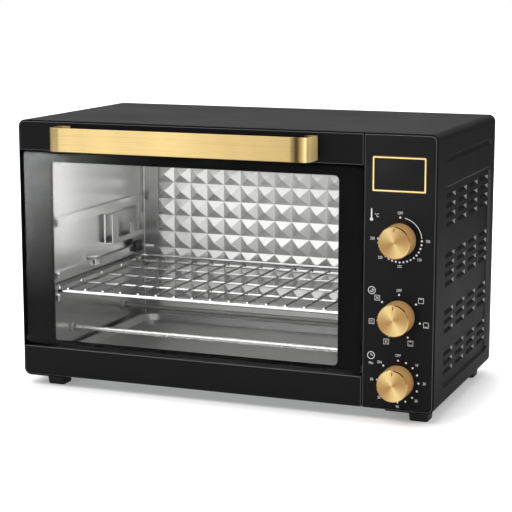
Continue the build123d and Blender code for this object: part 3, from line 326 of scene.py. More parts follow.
def build_grain_group():
    """Brushed grain: long streaks along the axis whose stretch is small."""
    tree, start, end = new_group(
        "Brushed grain",
        {"Stretch": (1.0, 1.0, 1.0), "Scale": 900.0, "Roughness Low": 0.25, "Roughness High": 0.4},
        ("Streak", "Roughness", "Height"),
    )
    place = vector_node(tree, "MULTIPLY", surface(tree, "Object"), start["Stretch"])
    fine = noise(tree, place, start["Scale"], detail=2.0, roughness=0.6)
    wide = noise(tree, place, math_node(tree, "MULTIPLY", start["Scale"], 0.17), detail=2.0)
    share = math_node(tree, "MULTIPLY", fine, 0.6)
    both = math_node(tree, "ADD", share, math_node(tree, "MULTIPLY", wide, 0.4))
    rough = remap(tree, both, *NOISE_SPAN, start["Roughness Low"], start["Roughness High"])
    tree.links.new(remap(tree, both, *NOISE_SPAN, 0.0, 1.0), end["Streak"])
    tree.links.new(rough, end["Roughness"])
    tree.links.new(both, end["Height"])
    return tree


def build_coat_group():
    """Sprayed coat: a fine orange peel with a slow drift in its gloss."""
    tree, start, end = new_group(
        "Sprayed coat",
        {"Peel Scale": 900.0, "Roughness": 0.45, "Drift": 0.06},
        ("Peel", "Roughness", "Mottle"),
    )
    place = surface(tree, "Object")
    peel = noise(tree, place, start["Peel Scale"], roughness=0.6)
    drift = noise(tree, place, 9.0)
    shift = math_node(tree, "MULTIPLY", math_node(tree, "SUBTRACT", drift, 0.5), start["Drift"])
    rough = math_node(tree, "MULTIPLY_ADD", shift, 3.0, start["Roughness"], clamp=True)
    tree.links.new(peel, end["Peel"])
    tree.links.new(rough, end["Roughness"])
    tree.links.new(drift, end["Mottle"])
    return tree


def build_smudge_group():
    """Handled surface: faint cloudy marks that change gloss and tone a little."""
    tree, start, end = new_group(
        "Handling marks", {"Scale": 25.0, "Amount": 0.1, "Base": 0.2}, ("Mask", "Roughness")
    )
    cloud = noise(tree, surface(tree, "Object"), start["Scale"], detail=5.0, roughness=0.6)
    mask = remap(tree, cloud, 0.45, 0.75, 0.0, 1.0)
    tree.links.new(mask, end["Mask"])
    tree.links.new(math_node(tree, "MULTIPLY_ADD", mask, start["Amount"], start["Base"]), end["Roughness"])
    return tree


def build_edge_group():
    """Turned edge: 1 where a surface faces none of the three main directions, as on a rounded edge."""
    tree, start, end = new_group("Turned edge", {"Low": 0.04, "High": 0.22}, ("Mask",))
    turned = axes(tree, vector_node(tree, "ABSOLUTE", surface(tree, "Normal")))
    largest = math_node(tree, "MAXIMUM", math_node(tree, "MAXIMUM", turned["X"], turned["Y"]), turned["Z"])
    away = math_node(tree, "SUBTRACT", 1.0, largest)
    tree.links.new(remap(tree, away, start["Low"], start["High"], 0.0, 1.0), end["Mask"])
    return tree


GROUP_BUILDERS = {
    "Turned edge": build_edge_group,
    "Brushed grain": build_grain_group,
    "Sprayed coat": build_coat_group,
    "Handling marks": build_smudge_group,
}


def place_group(tree, name, **values):
    """Puts a shared group into a material, building it the first time."""
    group = bpy.data.node_groups.get(name) or GROUP_BUILDERS[name]()
    node = add_node(tree, "ShaderNodeGroup", node_tree=group)
    for key, value in values.items():
        node.inputs[key.replace("_", " ").title()].default_value = value
    return node.outputs


# Finishes
def new_material(name, base, metallic=0.0, roughness=0.5, **sockets):
    """A material with one Principled shader; extra sockets are given by name."""
    made = bpy.data.materials.new(name)
    made.use_nodes = True
    made.diffuse_color = base
    shader = made.node_tree.nodes["Principled BSDF"]
    for key, value in {"Base_Color": base, "Metallic": metallic, "Roughness": roughness, **sockets}.items():
        shader.inputs[key.replace("_", " ")].default_value = value
    return made, made.node_tree, shader


def painted(made):
    """A finish's node tree, its shader and the socket that its colour comes from."""
    shader = made.node_tree.nodes["Principled BSDF"]
    return made.node_tree, shader, shader.inputs["Base Color"].links[0].from_socket


def add_bump(tree, shader, height, strength, depth):
    if strength:
        bump = add_node(tree, "ShaderNodeBump")
        bump.inputs["Strength"].default_value = strength
        bump.inputs["Distance"].default_value = depth
        tree.links.new(height, bump.inputs["Height"])
        tree.links.new(bump.outputs["Normal"], shader.inputs["Normal"])


def tone(colour, factor):
    return tuple(min(1.0, c * factor) for c in colour[:3]) + (1.0,)


def coated(name, colour, roughness, specular, peel=0.12, peel_scale=700.0, edge=None):
    """Black powder coat or moulded trim with a fine peel, and a painted highlight over its rounded edges when
    an edge colour is given.
    """
    made, tree, shader = new_material(name, colour, roughness=roughness, Specular_IOR_Level=specular)
    coat = place_group(tree, "Sprayed coat", roughness=roughness, peel_scale=peel_scale)
    tint = between(tree, coat["Mottle"], tone(colour, 0.88), tone(colour, 1.12))
    # Painted highlight: rounded edges take the edge colour, standing in for the light that they catch
    if edge:
        tint = between(tree, place_group(tree, "Turned edge")["Mask"], tint, edge)
    tree.links.new(tint, shader.inputs["Base Color"])
    tree.links.new(coat["Roughness"], shader.inputs["Roughness"])
    add_bump(tree, shader, coat["Peel"], peel, 0.15 * MM)
    return made


def brushed(name, colour, shade, stretch, low, high, scale=900.0, bump=0.15, metallic=1.0, **sockets):
    """Brushed or rolled metal whose streaks run along the axis with the small stretch."""
    made, tree, shader = new_material(
        name, colour, metallic=metallic, roughness=(low + high) / 2, **sockets
    )
    grain = place_group(
        tree, "Brushed grain", stretch=stretch, scale=scale, roughness_low=low, roughness_high=high
    )
    tree.links.new(between(tree, grain["Streak"], shade, colour), shader.inputs["Base Color"])
    tree.links.new(grain["Roughness"], shader.inputs["Roughness"])
    add_bump(tree, shader, grain["Height"], bump, 0.08 * MM)
    return made


def handled(name, colour, metallic, roughness, amount=0.08, scale=30.0, **sockets):
    """A smooth surface with faint handling marks."""
    made, tree, shader = new_material(name, colour, metallic=metallic, roughness=roughness, **sockets)
    marks = place_group(tree, "Handling marks", scale=scale, amount=amount, base=roughness)
    tree.links.new(between(tree, marks["Mask"], colour, tone(colour, 0.93)), shader.inputs["Base Color"])
    tree.links.new(marks["Roughness"], shader.inputs["Roughness"])
    return made


def clear_glass(name):
    """Clear glass that lets the lamps' light through to what is behind it."""
    made, tree, shader = new_material(
        name, (0.985, 0.985, 0.985, 1.0), roughness=0.0, Transmission_Weight=1.0, IOR=1.45,
        Specular_Tint=(0.02, 0.02, 0.02, 1.0),
    )
    marks = place_group(tree, "Handling marks", scale=14.0, amount=0.015, base=0.0)
    tree.links.new(marks["Roughness"], shader.inputs["Roughness"])
    mix = add_node(tree, "ShaderNodeMixShader")
    tree.links.new(add_node(tree, "ShaderNodeLightPath").outputs["Is Shadow Ray"], mix.inputs["Fac"])
    tree.links.new(shader.outputs["BSDF"], mix.inputs[1])
    tree.links.new(add_node(tree, "ShaderNodeBsdfTransparent").outputs["BSDF"], mix.inputs[2])
    tree.links.new(mix.outputs["Shader"], tree.nodes["Material Output"].inputs["Surface"])
    return made


def spun_gold(name, bright, shade, dark, flank, knob):
    """Spun metal: fine rings about a dial's axis, a painted fan of highlight and shade on its face, and a
    painted side tone.
    """
    made, tree, shader = new_material(
        name, bright, metallic=SPUN_METAL, roughness=SPUN_ROUGH, Anisotropic=0.6
    )
    place = surface(tree, "Object")
    flat = vector_node(tree, "MULTIPLY", vector_node(tree, "SUBTRACT", place, middle(knob)), (1, 0, 1))
    reach = vector_node(tree, "LENGTH", flat)
    ring = add_node(tree, "ShaderNodeCombineXYZ")
    tree.links.new(reach, ring.inputs["X"])
    streak = remap(tree, noise(tree, ring.outputs["Vector"], 2600.0, detail=2.0), *NOISE_SPAN, 0.0, 1.0)
    unit = vector_node(tree, "NORMALIZE", flat)
    # Painted shade and highlight: the face is darker along FAN_TURN and lighter across it, standing in for
    # the spun rings' reflections
    along = vector_node(tree, "DOT_PRODUCT", unit, (math.sin(FAN_TURN), 0, math.cos(FAN_TURN)))
    fan = math_node(tree, "POWER", math_node(tree, "ABSOLUTE", along), 1.2)
    painted_fan_colour = between(tree, fan, between(tree, streak, shade, bright), dark)
    offset = axes(tree, flat)
    narrow = math_node(tree, "LESS_THAN", math_node(tree, "ABSOLUTE", offset["X"]), INDEX_HALF)
    above = math_node(tree, "GREATER_THAN", offset["Z"], INDEX_START)
    within = math_node(tree, "LESS_THAN", reach, INDEX_END)
    index = math_node(tree, "MULTIPLY", math_node(tree, "MULTIPLY", narrow, above), within)
    marked = between(tree, index, painted_fan_colour, linear("3a2a14"))
    # Painted side tone: the flank colour with less metal stands in for the light that the knob's side catches
    side = math_node(tree, "GREATER_THAN", axes(tree, place)["Y"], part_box(knob)[0].y + KNOB_EDGE)
    tree.links.new(between(tree, side, marked, flank), shader.inputs["Base Color"])
    edge = math_node(tree, "GREATER_THAN", reach, KNOB_RIM)
    polished = math_node(tree, "MULTIPLY", edge, math_node(tree, "SUBTRACT", 1.0, side))
    tree.links.new(remap(tree, polished, 0.0, 1.0, SPUN_ROUGH, 0.12), shader.inputs["Roughness"])
    metal = math_node(tree, "MULTIPLY_ADD", polished, 0.4, SPUN_METAL)
    duller = math_node(tree, "SUBTRACT", metal, math_node(tree, "MULTIPLY", side, 0.35))
    tree.links.new(duller, shader.inputs["Metallic"])
    tree.links.new(vector_node(tree, "CROSS_PRODUCT", unit, (0, 1, 0)), shader.inputs["Tangent"])
    return made


def louvred_paint(name, colour, end_highlight):
    """The cabinet's powder coat, with painted highlights on the louvres' front-facing ends, the right rear
    slope and rounded edges.
    """
    # The lighter edge colour is a painted highlight on the cabinet's rounded edges
    made = coated(name, colour, 0.6, 0.04, peel=0.04, edge=tone(colour, 2.5))
    tree, shader, coat = painted(made)
    normal, point = axes(tree, surface(tree, "Normal")), axes(tree, surface(tree, "Object"))
    # Painted highlight: the louvres' front-facing ends on the right side take the end colour, as if catching
    # the light
    facing = math_node(tree, "LESS_THAN", normal["Y"], -0.9)
    right = math_node(tree, "GREATER_THAN", point["X"], WRAPPER_HIGH.x - LOUVRE_REACH)
    behind = math_node(tree, "GREATER_THAN", point["Y"], WRAPPER_LOW.y + LOUVRE_START)
    ends = math_node(tree, "MULTIPLY", math_node(tree, "MULTIPLY", facing, right), behind)
    # Painted highlight: the rear slope on the right side takes a much lighter tone of the coat
    slope = math_node(tree, "COMPARE", normal["Y"], -math.sqrt(0.5), 0.15)
    last = math_node(tree, "GREATER_THAN", point["Y"], WRAPPER_HIGH.y - REAR_SLOPE)
    rear = math_node(tree, "MULTIPLY", math_node(tree, "MULTIPLY", slope, last), right)
    lit = between(tree, rear, coat, tone(colour, 9))
    tree.links.new(between(tree, ends, lit, end_highlight), shader.inputs["Base Color"])
    return made


def strap_gold(name, bright, shade, dark):
    """Brushed gold whose normals turn over a wide bend at both ends of the handle, with painted shade and
    highlight on the bends.
    """
    made = brushed(
        name, bright, shade, (0.004, 1, 1), 0.27, 0.31, scale=9000, bump=0.0, metallic=0.7, Anisotropic=0.85
    )
    tree, shader, grain = painted(made)
    low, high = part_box("door_handle")
    place = surface(tree, "Object")
    point, facing = axes(tree, place), axes(tree, surface(tree, "Normal"))
    right = remap(tree, point["X"], high.x - STRAP_BEND, high.x, 0.0, 1.0)
    left = remap(tree, point["X"], low.x, low.x + STRAP_BEND, -1.0, 0.0)
    across = math_node(tree, "ADD", right, left)
    # Painted shade: the gold deepens towards the right bend; the cloud is a random tone
    run = remap(tree, point["X"], PAINTED_SHADE_FROM, high.x - STRAP_BEND, 0.0, 0.8)
    cloud = remap(tree, noise(tree, place, 22.0, detail=1.0), *NOISE_SPAN, 0.0, 0.2)
    shaded_and_clouded = between(tree, math_node(tree, "ADD", run, cloud), grain, tone(shade, 0.68))
    # Painted shade band and painted highlight on each bend, standing in for the reflections that turn over it
    painted_shade_band = remap(tree, distance(tree, across, 0.46), 0.05, 0.2, 0.95, 0.0)
    painted_highlight = remap(tree, across, 0.66, 0.8, 0.0, 0.9)
    # Painted shade at the handle's left end
    end = remap(tree, across, -1.0, -0.7, 0.6, 0.0)
    painted_bend_gold = between(tree, painted_highlight, between(tree, painted_shade_band, shaded_and_clouded, dark), tone(bright, 1.3))
    tree.links.new(between(tree, end, painted_bend_gold, tone(dark, 2.2)), shader.inputs["Base Color"])
    aside = math_node(tree, "ABSOLUTE", facing["X"])
    tree.links.new(remap(tree, aside, 0.5, 0.9, 0.7, 0.15), shader.inputs["Metallic"])
    rest = math_node(tree, "SUBTRACT", 1.0, math_node(tree, "MULTIPLY", across, across), clamp=True)
    turned = add_node(tree, "ShaderNodeCombineXYZ")
    tree.links.new(across, turned.inputs["X"])
    ahead = math_node(tree, "MULTIPLY", math_node(tree, "SQRT", rest), -1.0)
    tree.links.new(ahead, turned.inputs["Y"])
    world = add_node(
        tree, "ShaderNodeVectorTransform", vector_type="NORMAL", convert_from="OBJECT", convert_to="WORLD"
    )
    tree.links.new(turned.outputs[0], world.inputs[0])
    level = math_node(tree, "LESS_THAN", math_node(tree, "ABSOLUTE", facing["Z"]), 0.5)
    outer = math_node(tree, "LESS_THAN", point["Y"], low.y + STRAP_FACE)
    mask = math_node(tree, "MULTIPLY", level, outer)
    own = add_node(tree, "ShaderNodeNewGeometry").outputs["Normal"]
    tree.links.new(between(tree, mask, own, world.outputs[0], kind="VECTOR"), shader.inputs["Normal"])
    upright = add_node(tree, "ShaderNodeCombineXYZ")
    upright.inputs["Z"].default_value = 1.0
    tree.links.new(upright.outputs[0], shader.inputs["Tangent"])
    return made


def paint_facing_light(made, colour, low, high):
    """Lays a painted highlight or painted shade colour on the faces that look towards the door or the back
    wall, and not down.
    """
    tree, shader, under = painted(made)
    normal = axes(tree, surface(tree, "Normal"))
    level = remap(tree, math_node(tree, "ABSOLUTE", normal["Y"]), low, high, 0.0, 1.0)
    mask = math_node(tree, "MULTIPLY", level, remap(tree, normal["Z"], -0.6, 0.0, 0.0, 1.0))
    tree.links.new(between(tree, mask, under, colour), shader.inputs["Base Color"])
    return made


def lined_gold(name, bright, dark):
    """The display frame's gold: a painted highlight line between two bevels painted in darker shade."""
    made = handled(name, tone(dark, 0.55), 0.8, 0.2, amount=0.05)
    tree, shader, shaded_bevel = painted(made)
    low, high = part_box("display_bezel")
    centre, half = (low + high) / 2, (high - low) / 2
    point = axes(tree, vector_node(tree, "SUBTRACT", surface(tree, "Object"), centre))
    inward = [
        math_node(tree, "SUBTRACT", reach, math_node(tree, "ABSOLUTE", point[axis]))
        for axis, reach in (("X", half.x), ("Z", half.z))
    ]
    away = distance(tree, math_node(tree, "MINIMUM", *inward), BEZEL_MIDDLE)
    # Painted highlight line along the frame; the rest keeps the bevels' painted shade
    line = remap(tree, away, *BEZEL_FADE, 1.0, 0.0)
    tree.links.new(between(tree, line, shaded_bevel, tone(bright, 1.2)), shader.inputs["Base Color"])
    return made


def shade_back_margin(made, colour):
    """Paints shade on the plain strip between the embossed back wall's left edge and its pyramids, and a
    highlight on its roll.
    """
    tree, shader, under = painted(made)
    across = axes(tree, surface(tree, "Object"))["X"]
    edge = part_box("back_liner")[0].x
    # Painted shade on the strip at the wall's left edge, and a painted highlight on the roll there
    strip = remap(tree, across, *(edge + mark for mark in MARGIN_SHADE_FADE), 1.0, 0.0)
    roll = remap(tree, distance(tree, across, edge + ROLL_MIDDLE), *ROLL_FADE, 1.0, 0.0)
    shaded_margin = between(tree, strip, under, colour)
    tree.links.new(between(tree, roll, shaded_margin, (1, 1, 1, 1)), shader.inputs["Base Color"])
    return made


def dress(material, *nodes):
    """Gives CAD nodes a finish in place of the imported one."""
    for node in nodes:
        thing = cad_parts[node]
        if not thing.material_slots:
            thing.data.materials.append(material)
        for place in thing.material_slots:
            place.material = material


# Mesh helpers
def finish_piece(bm, name, material, body):
    """Turns a bmesh into a piece that rides on a body."""
    bmesh.ops.recalc_face_normals(bm, faces=bm.faces)
    mesh = bpy.data.meshes.new(name)
    bm.to_mesh(mesh)
    bm.free()
    mesh.materials.append(material)
    piece = bpy.data.objects.new(name, mesh)
    bpy.context.scene.collection.objects.link(piece)
    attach(piece, body)
    return piece


class Print:
    """Flat print on the control panel's face, drawn in x and z."""

    def __init__(self, thickness):
        self.bm = bmesh.new()
        self.face = PANEL_LOW.y
        self.thickness = thickness

    def prism(self, outline):
        """A thin prism over a closed outline."""
        front = [self.bm.verts.new((x, self.face - self.thickness, z)) for x, z in outline]
        back = [self.bm.verts.new((x, self.face, z)) for x, z in outline]
        self.bm.faces.new(front)
        self.bm.faces.new(back[::-1])
        count = len(outline)
        for i in range(count):
            j = (i + 1) % count
            self.bm.faces.new((front[i], back[i], back[j], front[j]))

    def dot(self, x, z, radius, sides=20):
        turns = [2 * math.pi * i / sides for i in range(sides)]
        self.prism([(x + radius * math.cos(t), z + radius * math.sin(t)) for t in turns])

    def line(self, x0, z0, x1, z1, width):
        along = Vector((x1 - x0, z1 - z0)).normalized()
        across = Vector((-along.y, along.x)) * width / 2
        ends = (Vector((x0, z0)), Vector((x1, z1)))
        points = [ends[0] + across, ends[0] - across, ends[1] - across, ends[1] + across]
        self.prism([tuple(p) for p in points])

    def arc(self, x, z, radius, width, start, end, steps=40):
        """Part of a ring; angles are clock angles in degrees."""
        turns = [math.radians(start + (end - start) * i / steps) for i in range(steps + 1)]
        outer, inner = (
            [(x + rim * math.sin(t), z + rim * math.cos(t)) for t in turns]
            for rim in (radius + width / 2, radius - width / 2)
        )
        for i in range(steps):
            self.prism([outer[i], outer[i + 1], inner[i + 1], inner[i]])

    def square(self, x, z, half, width):
        for side in (x - half, x + half):
            self.line(side, z - half - width / 2, side, z + half + width / 2, width)
        for level in (z - half, z + half):
            self.line(x - half, level, x + half, level, width)

    def letters(self, words, x, z, size):
        """Words centred on a point, taken from Blender's own font."""
        curve = bpy.data.curves.new("letters", "FONT")
        curve.body = words
        curve.size = size
        curve.offset = -0.004 * size
        curve.extrude = self.thickness / 2
        curve.align_x = "CENTER"
        curve.align_y = "CENTER"
        curve.resolution_u = 3
        holder = bpy.data.objects.new("letters", curve)
        bpy.context.scene.collection.objects.link(holder)
        bpy.context.view_layer.update()
        evaluated = holder.evaluated_get(bpy.context.evaluated_depsgraph_get())
        mesh = bpy.data.meshes.new_from_object(evaluated)
        turn = Matrix.Rotation(math.pi / 2, 4, "X") @ Matrix.Diagonal((LETTER_NARROW, 1, 1, 1))
        mesh.transform(Matrix.Translation((x, self.face - self.thickness / 2, z)) @ turn)
        self.bm.from_mesh(mesh)
        bpy.data.objects.remove(holder)
        bpy.data.curves.remove(curve)
        bpy.data.meshes.remove(mesh)

    def around(self, centre, radius, angle):
        """The point at a clock angle, in degrees, around a dial's centre."""
        turn = math.radians(angle)
        return centre.x + radius * math.sin(turn), centre.z + radius * math.cos(turn)

    def dots(self, centre, reach, angles, radius):
        """Round marks at clock angles around a dial's centre."""
        for angle in angles:
            self.dot(*self.around(centre, reach, angle), radius)

    def labels(self, scales, centre, labels):
        """Numbers and words outside a dial's marks, by their clock angles."""
        for angle, words in labels.items():
            wide = scales.label_gap + (WORD_GAP if len(words) > 2 else 0)
            x, z = self.around(centre, scales.ring, angle)
            turn = math.radians(angle)
            high = LABEL_NARROW * wide
            self.letters(words, x + wide * math.sin(turn), z + high * math.cos(turn), scales.letter)


# Operators
class OVEN_OT_finish_cabinet(bpy.types.Operator):
    """Paints the cabinet and finishes its back, base and feet"""

    bl_idname = "oven.finish_cabinet"
    bl_label = "Finish cabinet"

    def execute(self, context):
        finish = context.scene.oven_finish
        paint = louvred_paint("Louvred powder coat", finish.paint, finish.louvre_end_highlight)
        dress(paint, "wrapper")
        # The lighter edge colour is a painted highlight on the back's rounded edges
        plain = coated("Cabinet powder coat", finish.paint, 0.5, 0.22, peel=0.04, edge=tone(finish.paint, 4))
        dress(plain, "back_cover")
        zinc = brushed(
            "Zinc plated sheet", linear("b4b8ba"), linear("8f9598"), (1, 0.05, 1), 0.35, 0.55, scale=300
        )
        dress(zinc, "base_pan")
        dark = coated("Dark frame sheet", linear("232324"), 0.45, 0.3)
        dress(dark, "front_frame", "left_hinge_ear", "right_hinge_ear")
        plated = handled("Nickel plated screw", linear("c9c9c6"), 1.0, 0.28)
        dress(plated, "case_screws", "handle_screws")
        black = handled("Blackened pin", linear("161616"), 0.6, 0.4)
        dress(black, "left_hinge_pin", "right_hinge_pin")
        rubber = coated("Foot rubber", finish.rubber, 0.7, 0.3, peel=0.3, peel_scale=1400)
        dress(rubber, "left_front_foot", "left_back_foot", "right_front_foot", "right_back_foot")
        dress(rubber, "cord_gland")
        return {"FINISHED"}


class OVEN_OT_finish_door(bpy.types.Operator):
    """Finishes the door's glass, trim, inner sheet and handle, and the strip below it"""

    bl_idname = "oven.finish_door"
    bl_label = "Finish door"

    def execute(self, context):
        finish = context.scene.oven_finish
        # The edge colour is a painted highlight on the trim's rounded edges
        trim = coated("Black trim", finish.trim, 0.45, 0.06, peel=0.03, edge=finish.edge)
        dress(trim, "door_top_trim", "lower_strip")
        dress(clear_glass("Door glass"), "door_glass")
        sheet = coated("Black inner sheet", linear("0a0a0a"), 0.6, 0.01, peel=0.0)
        dress(sheet, "door_frame")
        gold = strap_gold("Brushed gold strap", finish.gold, finish.gold_shade, tone(finish.gold_painted_shade, 0.3))
        dress(gold, "door_handle")
        return {"FINISHED"}


class OVEN_OT_finish_controls(bpy.types.Operator):
    """Finishes the control panel, the display, the dials and what they turn"""

    bl_idname = "oven.finish_controls"
    bl_label = "Finish controls"

    def execute(self, context):
        finish = context.scene.oven_finish
        black = tone(finish.trim, 0.75)
        # The edge colour is a painted highlight on the panel's rounded edges
        panel = coated("Control panel black", black, 0.45, 0.06, peel=0.03, edge=finish.edge)
        dress(panel, "control_panel")
        dress(lined_gold("Display frame gold", finish.gold, finish.gold_painted_shade), "display_bezel")
        pane = handled("Display pane", linear("060607"), 0.0, 0.12, amount=0.04, Specular_IOR_Level=0.12)
        dress(pane, "display_window")
        # The last colour is the dials' painted side tone
        golds = (finish.gold, finish.gold_shade, finish.gold_painted_shade, linear("d2a468"))
        steels = (linear("b8b8b4"), linear("95958f"))
        for dial in ("temperature", "function", "timer"):
            dress(spun_gold(dial.title() + " dial gold", *golds, dial + "_knob"), dial + "_knob")
            turned = brushed(dial.title() + " shaft steel", *steels, (1, 0.05, 1), 0.3, 0.45)
            dress(turned, dial + "_shaft")
        moulded = coated("Moulded switch body", linear("2a2a2c"), 0.55, 0.4)
        dress(moulded, "thermostat", "selector_switch", "spit_motor")
        steel = brushed("Timer steel", linear("bdbdb6"), linear("9a9a92"), (0.05, 1, 1), 0.3, 0.5)
        dress(steel, "timer", "timer_bell", "spit_coupling")
        board = handled("Circuit board green", linear("1c5a34"), 0.0, 0.45)
        dress(board, "display_board")
        return {"FINISHED"}


class OVEN_OT_print_scales(bpy.types.Operator):
    """Prints the scales, numbers and signs around the three dials"""

    bl_idname = "oven.print_scales"
    bl_label = "Print scales"

    def execute(self, context):
        scales = context.scene.oven_scales
        finish = context.scene.oven_finish
        ink = handled("Silk screen print", finish.printing, 0.0, 0.5)
        self.temperature(scales, ink)
        self.function(scales, ink)
        self.timer(scales, ink)
        return {"FINISHED"}

    def temperature(self, scales, ink):
        centre = middle("temperature_knob")
        sheet = Print(scales.thickness)
        sheet.arc(centre.x, centre.z, scales.ring, scales.line, 12, 84)
        sheet.dots(centre, scales.ring, (0, *range(90, 271, 10)), scales.dot)
        sheet.labels(scales, centre, {0: "OFF", 90: "100", 135: "150", 180: "200", 225: "250", 270: "300"})
        x, top = centre.x - THERMOMETER_AWAY, centre.z + THERMOMETER_AWAY
        sheet.line(x, top, x, top - THERMOMETER_LONG, THERMOMETER_WIDE)
        sheet.dot(x, top, THERMOMETER_WIDE / 2)
        sheet.dot(x, top - BULB_DROP, BULB_RADIUS)
        sheet.letters("°C", x + 6.5 * MM, top - 7.5 * MM, scales.letter * 1.3)
        finish_piece(sheet.bm, "temperature_scale", ink, CABINET)

    def function(self, scales, ink):
        centre = middle("function_knob")
        sheet = Print(scales.thickness)
        turns = [360 / 7 * i for i in range(7)]
        sheet.dots(centre, scales.ring, turns, scales.dot)
        sheet.labels(scales, centre, {0: "OFF"})
        for turn, kind in zip(turns[1:], ("top", "bottom", "both", "fan", "zigzag", "spit")):
            self.sign(sheet, kind, *sheet.around(centre, scales.icon_ring, turn))
        x, z = centre.x - SYMBOL_AWAY, centre.z + 30 * MM
        sheet.arc(x, z, SYMBOL_RADIUS, scales.line, 0, 360)
        sheet.arc(x, z, SPIRAL_RADIUS, scales.line, 0, 270)
        sheet.line(x, z, x + SPIRAL_RADIUS, z + 1.2 * MM, scales.line)
        finish_piece(sheet.bm, "function_scale", ink, CABINET)

    def sign(self, sheet, kind, x, z):
        """A small square oven sign with its heat marks."""
        sheet.square(x, z, SIGN_HALF, SIGN_LINE)
        inner = SIGN_HALF - SIGN_INSET
        left, right, low, high = x - inner, x + inner, z - inner, z + inner
        if kind in ("top", "both"):
            sheet.line(left, high, right, high, SIGN_LINE)
        if kind in ("bottom", "both"):
            sheet.line(left, low, right, low, SIGN_LINE)
        if kind == "fan":
            for bar in (x - FAN_BAR, x + FAN_BAR):
                sheet.line(bar, low, bar, high, SIGN_LINE)
        if kind == "zigzag":
            for level in (z - ZIGZAG_ROW, z + ZIGZAG_ROW):
                for i in range(3):
                    start = left + i * 2 * inner / 3
                    rise = ZIGZAG_RISE * (1 if i % 2 else -1)
                    sheet.line(start, level - rise, start + 2 * inner / 3, level + rise, SIGN_LINE * 0.8)
        if kind == "spit":
            sheet.line(left, low, right, high, SIGN_LINE)
            sheet.line(left, high, right, low, SIGN_LINE)

    def timer(self, scales, ink):
        centre = middle("timer_knob")
        sheet = Print(scales.thickness)
        sheet.dots(centre, scales.ring * 0.96, [22.5 * i for i in range(13)] + [315], scales.dot * 0.95)
        minutes = {45 * i: str(10 * i) for i in range(1, 7)}
        sheet.labels(scales, centre, {0: "OFF", 315: "ON", **minutes})
        x, z = centre.x - SYMBOL_AWAY, centre.z + 29.5 * MM
        sheet.arc(x, z, SYMBOL_RADIUS, scales.line, 0, 360)
        sheet.line(x, z, x, z + 2.6 * MM, scales.line)
        sheet.line(x, z, x + 2.1 * MM, z, scales.line)
        sheet.letters("Min", x, z - 9.5 * MM, scales.letter)
        finish_piece(sheet.bm, "timer_scale", ink, CABINET)


class OVEN_OT_finish_cavity(bpy.types.Operator):
    """Finishes the cavity's walls, heating tubes, bracket, rack and tray"""

    bl_idname = "oven.finish_cavity"
    bl_label = "Finish cavity"

    def execute(self, context):
        finish = context.scene.oven_finish
        steel, shade = finish.steel, tone(finish.steel, 0.95)
        rolled = brushed(
            "Rolled cavity steel", steel, shade, (1, 0.02, 1), 0.22, 0.27, scale=1500, bump=0.0
        )
        # Painted shade on the side walls' faces that look front or back
        paint_facing_light(rolled, tone(steel, 0.2), 0.8, 0.95)
        dress(rolled, "left_liner", "right_liner")
        level = brushed("Rolled level steel", steel, shade, (0.02, 1, 1), 0.24, 0.3, scale=1500, bump=0.0)
        dress(level, "top_liner", "floor_liner")
        bright = brushed(
            "Embossed bright steel", steel, shade, (1, 1, 0.02), 0.3, 0.33, scale=1500, bump=0.0, metallic=0.7
        )
        # The back wall gets painted shade on its left strip and a painted highlight on its roll
        dress(shade_back_margin(bright, tone(steel, 0.4)), "back_liner")
        sheath = handled("Heater sheath", linear("c9c9c6"), 1.0, 0.24, amount=0.2)
        # The back tubes take a darker, rougher copy of the sheath: painted shade that keeps them dim
        shaded_sheath = handled("Shaded heater sheath", linear("7c7c7a"), 1.0, 0.45, amount=0.1)
        ceramic = coated("Ceramic collar", finish.ceramic, 0.6, 0.4, peel=0.2)
        for level_name in ("lower", "upper"):
            for place in ("front", "back"):
                heater = f"{level_name}_heater_{place}"
                dress(sheath if place == "front" else shaded_sheath, heater)
                dress(ceramic, heater + "_left_bush", heater + "_right_bush")
        chrome = handled("Bright chrome", finish.chrome, 1.0, 0.08, amount=0.03)
        dress(chrome, "rack_stop", "sensor_bulb")
        # The rack is a darker copy of the chrome (painted shade), with the chrome as a painted highlight on
        # faces that look front or back
        wires = handled("Rack chrome", finish.wire, 1.0, 0.08, amount=0.03)
        dress(paint_facing_light(wires, finish.chrome, 0.2, 0.6), "wire_rack")
        # Painted highlight: the chrome on the bracket's faces that look front or back
        folded = handled("Bracket steel", tone(finish.wire, 2.2), 1.0, 0.34, amount=0.05)
        dress(paint_facing_light(folded, finish.chrome, 0.6, 0.9), "spit_bracket")
        clip = handled("Dark spring clip", linear("2c2c2c"), 1.0, 0.3)
        dress(clip, "sensor_clip")
        greys = (linear("c4c4c3"), linear("b4b4b3"))
        tray = brushed("Aluminised tray", *greys, (0.03, 1, 1), 0.34, 0.42, scale=700, bump=0.0)
        # Painted shade on the tray's faces that look front or back
        paint_facing_light(tray, linear("5c5c5c"), 0.7, 0.95)
        dress(tray, "crumb_tray")
        return {"FINISHED"}


